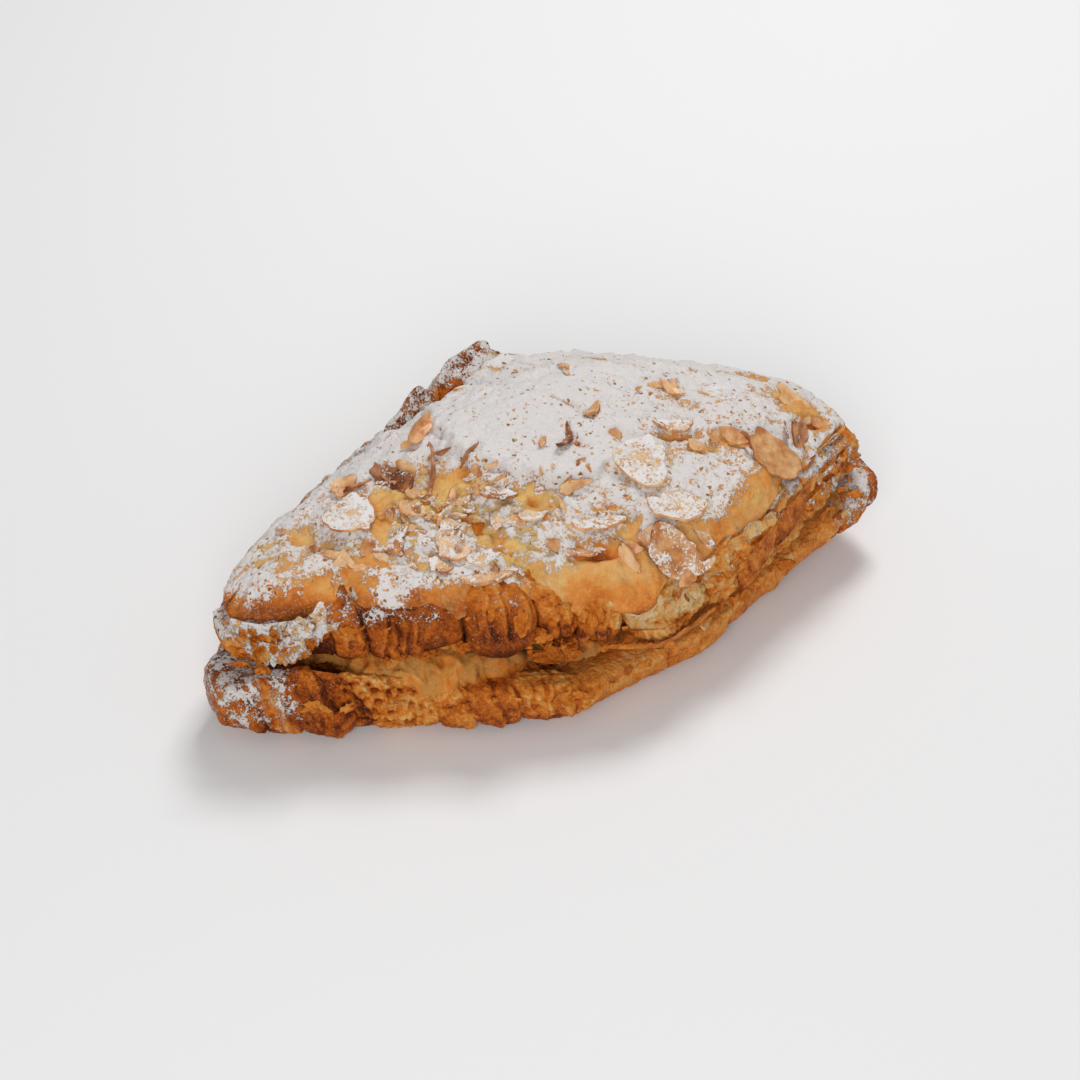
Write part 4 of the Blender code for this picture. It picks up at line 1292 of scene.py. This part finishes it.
# x, y, length, width, turn, tilt, curl, broken sides, sugar, toast, and lift in mm
FLAKES = (
    (-49.8, -8, 13, 12, 60, 4, 0.5, 0, 0.99, 0.36, 0.3),
    (-31.5, -22.5, 12.5, 11.5, 60, 8, 0.5, 1, 0.8, 0.3, 0.5),
    (20.5, -19.5, 13, 12.5, 35, -8, 0.4, 0, 1, 0.36, 1.2),
    (-35.5, -0.5, 11.5, 8.5, -60, 34, 1.6, 2, 0.4, 1.15, 0.8),
    (-48, 3.2, 9.5, 5.5, 20, 16, 0.7, 2, 0.25, 0.42, 0.6),
    (-26, -1, 12.5, 5.5, 68, -80, 0.6, 1, 0.1, 0.6, 1.8),
    (-23, 15, 14, 5, 40, 58, 1.8, 1, 0.2, 0.45, 1.2),
    (-14.5, -16.5, 10.5, 6.5, 5, -24, 1, 2, 1, 0.8, 0.9),
    (2.5, -20.5, 8.5, 2.2, -6, 20, 0.4, 1, 0.15, 0.4, 0.5),
    (3, -32, 13.5, 7, -12, -16, 1.2, 2, 1, 0.55, 1.4),
    (24, -31.5, 14, 7.5, -8, -14, 0.8, 0, 1.05, 0.35, 0.8),
    (56.5, -20.5, 13.5, 9, -10, 14, 0.3, 0, 0.08, 0.58, 3),
    (66, -15, 5.5, 10.5, 22, 74, 0.3, 1, 0.42, 0.8, 1.8),
    (73, -3, 12, 7, -42, 10, 0.8, 2, 0.1, 0.2, 0.6), (34, -8, 12.5, 6, 0, -20, 0.8, 2, 1, 0.6, 0.8),
    (41, 6, 9, 4.5, -60, 20, 0.8, 3, 0.2, 0.35, 0.6),
    (24, 13, 12, 8, -20, -4, 0.4, 1, 1.4, 0.3, -0.6),
    (20, -40.5, 15, 9.5, -14, 30, 2.2, 2, 0.62, 0.62, 2.2),
    (-42.5, -19.5, 10, 7, 35, -18, 1.2, 2, 0.7, 0.75, 0.6),
    (-66, -26, 10, 6, 30, 18, 1.2, 2, 0.95, 0.4, 0),
    (-26, -34.5, 14.5, 4, -10, -36, 0.6, 1, 0.65, 0.55, 0.8),
    (6, -8.5, 8, 4.5, 50, -34, 1.8, 2, 0.7, 1.1, 0.5),
    (-35.5, -11.5, 9.5, 6.5, 62, 16, 1, 2, 0.45, 0.3, 0.6),
    (16, 0.5, 6.5, 3.6, 20, -24, 1.2, 2, 0.4, 0.45, 0.3),
    (-7, 25, 11, 7, -15, 3, 0.3, 1, 1.3, 0.3, -0.4), (54, 4, 12, 8, 30, 4, 0.4, 1, 1.3, 0.3, -0.3),
    (47.5, -15.5, 7.5, 4.6, -50, 34, 0.7, 3, 0.1, 0.55, 0.9),
)


def flake_grid(length, width, seed, curl=1.0, broken=0, thick=0.62, rings=10, spokes=48):
    """A sliced almond: a smooth oval, narrower at one end, that curls up. Each broken side cuts it
    off along a straight line. Rows run from the middle of one face, over the crisp rim, to the
    middle of the other. Also how near the rim each point is, and where the brown skin is left."""
    rng = np.random.default_rng(seed)
    turn = np.linspace(0, 2 * np.pi, spokes, endpoint=False)
    outline = 1 + crooked(rng, turn, 0.030, 11)
    skin = np.ones(spokes)
    for side in range(broken):
        heading, away = rng.uniform(0, 2 * np.pi), rng.uniform(0.32, 0.72)
        away = away + 0.05 * np.sin(9 * turn + rng.uniform(0, 6))
        ahead = np.cos(turn - heading)
        limit = np.where(ahead > 0.12, away / np.maximum(0.12, ahead), 9)
        skin = np.where(limit < outline, 0, skin)
        outline = np.minimum(outline, limit)
    span = np.append(1 - (1 - np.linspace(0, 0.9, rings - 1)) ** 2, 1.0)
    reach = np.concatenate([span, span[::-1]])[:, None]
    face = np.concatenate([np.ones(rings), -np.ones(rings)])[:, None]
    radius = reach * (1 + (outline - 1) * reach**2)
    u = radius * np.cos(turn)
    v = radius * np.sin(turn) * (1 - 0.22 * u)
    bend = u**2 * rng.uniform(0.5, 1.2) + 0.5 * rng.normal() * u * v + rng.normal() * 0.5 * v**2
    w = face * thick / 2 * (1 - 0.15 * u) * (1 - 0.22 * (reach > 0.995)) + curl * bend
    w = w + 0.28 * rough(np.stack([u * length / 2, v * width / 2, 0 * u + seed], -1), 2.8, 3, seed + 1)
    return np.stack([u * length / 2, v * width / 2, w], -1), reach + 0 * u, skin + 0 * u


bpy.context.view_layer.update()
cream_surface = BVHTree.FromObject(topping, bpy.context.evaluated_depsgraph_get())


def ground(x, y):
    """Height of the topping at a place, or that of its lowest edge beside it."""
    hit = cream_surface.ray_cast(Vector((x * METRE, y * METRE, 0.1)), Vector((0, 0, -1)))[0]
    return hit.z / METRE if hit else TOPPING["tips_z"][0]


def laid(grid, x, y, lift, reach=3.5):
    """The grid moved to a place on the topping and leant with the slope there."""
    steps = ((0, 0), (reach, 0), (-reach, 0), (0, reach), (0, -reach))
    around = [ground(x + dx, y + dy) for dx, dy in steps]
    slope = [(around[1] - around[2]) / 2 / reach, (around[3] - around[4]) / 2 / reach]
    slope = np.clip(slope, -0.7, 0.7)
    grid[..., 2] += grid[..., :2] @ slope
    return grid + (x, y, float(np.mean(around)) + lift)


def almond_masks(grid, reach, skin, dusted, toasted, seed):
    """Toast, brownest on the skin at the rim, and sugar in drifts on what faces up."""
    facing_up = normals(grid)[..., 2]
    up = smooth(0.10, 0.60, facing_up * np.sign(facing_up[0:3].mean() or 1))
    drifts = (0.42 - 0.2 * (dusted > 1)) * rough(grid, 4.0, 3, seed) * min(1, 2 * dusted)
    rim = 0.24 * skin * (reach > 0.98) * (dusted < 1)
    toast = toasted * 0.72 + 0.08 + rim + 0.26 * rough(grid, 4, 3, seed + 1)
    return {"toast": toast, "sugar": (dusted * 0.68 + drifts) * up}


def almond_material():
    """Toasted almond: pale cream in the middle, tan towards the rim and brown with toast, under
    sugar by the sugar mask."""
    made, shader, place = new_material("sliced almond")
    blotch = grain(place, 420, 4, 0.7) - 0.5
    stops = (
        (0.0, (0.88, 0.62, 0.36, 1)),
        (0.32, (0.80, 0.45, 0.20, 1)),
        (0.62, (0.57, 0.22, 0.065, 1)),
        (1.0, (0.14, 0.034, 0.010, 1)),
    )
    colour, sugar = sugared(ramped(stored(place.tree, "toast") + blotch, stops))
    surface = {
        "Base Color": colour,
        "Roughness": between(sugar["Mask"], 0, 1, 0.38, 0.95),
        "Normal": bump(grain(place, 1400, 3) + sugar["Height"], 0.5, 0.0003),
        "Subsurface Weight": 0.15,
        "Subsurface Radius": (1.0, 0.5, 0.2),
        "Subsurface Scale": 0.002,
    }
    fill(shader, surface)
    return made


ALMOND = almond_material()
for number, (fx, fy, *size, turn, tilt, curl, broken, dusted, toasted, lift) in enumerate(FLAKES, 1):
    grid, reach, skin = flake_grid(*size, 500 + number, curl, broken)
    grid = laid(turned(grid, turn, tilt), fx, fy, lift)
    masks = almond_masks(grid, reach, skin, dusted, toasted, 540 + 3 * number)
    piece(
        f"sliced_almond_{number:02d}", [closed_grid(grid, **masks)], ALMOND,
        replaces=[f"almond_flake_{number:02d}"],
    )


# ---------------------------------------------------------------------------------------
# Broken almonds. Chips and splinters of the slices, 3 to 9 mm long, half sunk in the cream:
# some listed along the edges and ledges, the rest strewn, thickest in the hollow.

CHIPS = (  # x, y, length, width, turn, tilt, sugar, toast, lift
    (-55, -19, 7, 4, -50, 34, 0.2, 0.4, 0.7), (-52.5, -22, 6.5, 3.5, -35, -30, 0.1, 0.4, 0.7),
    (-57, -16, 6, 3, -48, 50, 0, 0.4, 0.6), (-49, -18, 6, 3.5, 10, 35, 0.2, 0.5, 0.6),
    (-60, -12, 4, 2.4, 20, 30, 0, 0.9, 0.2), (-44, 1, 8, 3.5, 6, -50, 0, 0.75, 0.8),
    (-31.5, 1, 8, 5, -70, 48, 0.1, 0.3, 0.9), (-33, -6, 5, 3.5, 10, 50, 0.1, 0.35, 0.8),
    (-19, -11, 7, 4.5, 60, 50, 0.1, 0.45, 1), (-17.5, -7.5, 5, 3.5, -60, 35, 0, 0.7, 0.6),
    (-18.5, -22.5, 7, 5, 70, 20, 0.85, 0.3, 0.8), (-14.5, -25, 7, 4.5, -40, 26, 0.75, 0.3, 0.8),
    (-10.5, -25.5, 8, 5.5, 20, -18, 0.85, 0.3, 0.7), (-2.5, -24, 9, 2, 84, -30, 0.1, 0.25, 1.2),
    (-3, -36, 11, 6, -8, -24, 0.55, 0.6, 1.2), (-9, -33.5, 6, 4, 20, 20, 0.3, 0.45, 0.7),
    (6, -41, 9, 3.4, -62, 70, 0.35, 0.35, 2.4), (9, -38.5, 5, 3, -30, 50, 0.1, 0.5, 1.6),
    (28.5, -38, 9, 6, 10, -14, 0.75, 0.55, 1.6), (12.5, -37, 8, 6, 30, 24, 0.7, 0.6, 2),
    (20, -45, 8, 4.5, 24, 30, 0.2, 0.6, 0.4), (26, -43.5, 8, 2.6, 38, 30, 0.9, 0.4, 1),
    (16, -35, 5, 4, 20, 10, 0, 0.1, 2), (17.5, -9.5, 6, 3, -70, 60, 0.3, 0.5, 0.6),
    (36.5, -16, 6, 3.5, -20, 35, 0.2, 0.35, 0.8), (43, -14, 6, 4, 30, 40, 0.1, 0.4, 0.8),
    (51, -16, 5, 3.5, -70, 50, 0.1, 0.9, 0.6), (62.5, -14.5, 8, 4, 72, 76, 0.5, 1, 1.8),
    (69, -17, 5, 3.4, -30, 30, 0.5, 0.4, 0.8), (75, -8, 7, 3, -50, 55, 0.4, 0.5, 0.6),
    (18.5, 21, 7, 3, 80, 30, 0.6, 0.4, 0.2), (38, 9, 6, 3, -20, 40, 0.1, 0.35, 0.6),
    (43, 8, 5, 3, -80, 30, 0.1, 0.3, 0.5), (-6, 30, 6, 4, 30, 10, 0.2, 0.5, 0.4),
    (19.5, 23, 5, 4, 60, 10, 0.1, 0.5, 0.4), (-21.7, 3, 4.5, 1.8, -20, 20, 0, 0.95, 0.5),
    (-17.8, -2.3, 6, 2, 10, 20, 0, 0.95, 0.5), (-28, 11, 6, 3, 20, 55, 0.1, 0.3, 1),
    (-24, -9, 5, 3, 60, 60, 0.1, 0.3, 0.6), (-38, -16, 5, 3.5, -30, 30, 0.6, 0.3, 0.6),
    (-29, -15, 7, 4, 20, 24, 0.75, 0.3, 0.6), (-36, -29, 8, 4.5, -18, 20, 0.9, 0.35, 0.7),
    (-26, -31, 8, 4.5, -18, 16, 0.9, 0.35, 0.7),
)
CHIP_COUNT = 124
rng = np.random.default_rng(80)
strewn = list(CHIPS)
while len(strewn) < CHIP_COUNT:
    in_hollow = rng.random() < 0.75
    cx, cy = rng.normal((-30, -16), (14, 9)) if in_hollow else rng.uniform((-62, -38), (62, 30))
    near_edge = abs(across(TOPPING, np.array(cx), np.array(cy))) > 0.84
    if near_edge or hill(cx, cy, 4, 10, 24, 16) > 0.3:
        continue
    size = rng.uniform(1.8, 5.0)
    strewn.append(
        (cx, cy, size, size * rng.uniform(0.4, 0.8), rng.uniform(0, 180), rng.normal() * 40,
         rng.uniform(0.3, 1.1), rng.uniform(0.25, 0.75), rng.uniform(0.1, 0.9))
    )
parts = []
for number, (cx, cy, *size, turn, tilt, dusted, toasted, lift) in enumerate(strewn):
    grid, reach, skin = flake_grid(*size, 800 + number, 0.4, 3 + number % 2, 0.45, 7, 32)
    grid = laid(turned(grid, turn, tilt), cx, cy, lift, 1.5)
    masks = almond_masks(grid, reach, skin, dusted, toasted, 900 + 3 * number)
    parts.append(closed_grid(grid, **masks))
piece("broken_almonds", parts, ALMOND)


# ---------------------------------------------------------------------------------------
# Studio. A pale matt floor, a soft light above and behind on the right, a broad fill at the
# front left, even light all round, and a camera that looks down at the open front.

floor_mesh = bpy.data.meshes.new("floor")
floor_mesh.from_pydata([(-3, -3, 0), (3, -3, 0), (3, 3, 0), (-3, 3, 0)], [], [(0, 1, 2, 3)])
floor = bpy.data.objects.new("floor", floor_mesh)
bpy.context.scene.collection.objects.link(floor)
pale = bpy.data.materials.new("pale floor")
pale.use_nodes = True
fill(pale.node_tree.nodes["Principled BSDF"], {"Base Color": (0.92, 0.92, 0.92, 1), "Roughness": 0.9})
floor_mesh.materials.append(pale)
floor.location.z = -0.2 * METRE  # just clear of the underside, so that they don't flicker


def soft_light(name, place, size, watts):
    """A square white area light at a place in metres, aimed at the croissant."""
    lamp = bpy.data.lights.new(name, "AREA")
    lamp.size, lamp.energy = size, watts
    made = bpy.data.objects.new(name, lamp)
    made.location = place
    made.rotation_euler = (Vector(place) - Vector((0, 0, 0.02))).to_track_quat("Z", "Y").to_euler()
    bpy.context.scene.collection.objects.link(made)


soft_light("key", (0.35, 0.40, 0.80), 0.30, 4.5)
soft_light("fill", (-0.45, -0.85, 0.55), 0.5, 6.0)
world = bpy.data.worlds.new("studio")
world.use_nodes = True
fill(world.node_tree.nodes["Background"], {"Color": (1.0, 1.0, 1.0, 1), "Strength": 0.27})
bpy.context.scene.world = world
bpy.context.scene.view_settings.view_transform = "Standard"

# The camera looks down at the left front from 628 mm, at a point inside the lower half.
AIM, DISTANCE = Vector((0, -0.0052, 0.020)), 0.628
azimuth, elevation = math.radians(-24), math.radians(37)
level = math.cos(elevation)
back = Vector((math.sin(azimuth) * level, -math.cos(azimuth) * level, math.sin(elevation)))
lens = bpy.data.cameras.new("camera")
lens.lens, lens.sensor_width = 85, 36
camera = bpy.data.objects.new("camera", lens)
camera.location = AIM + back * DISTANCE
camera.rotation_euler = back.to_track_quat("Z", "Y").to_euler()
bpy.context.scene.collection.objects.link(camera)
bpy.context.scene.camera = camera
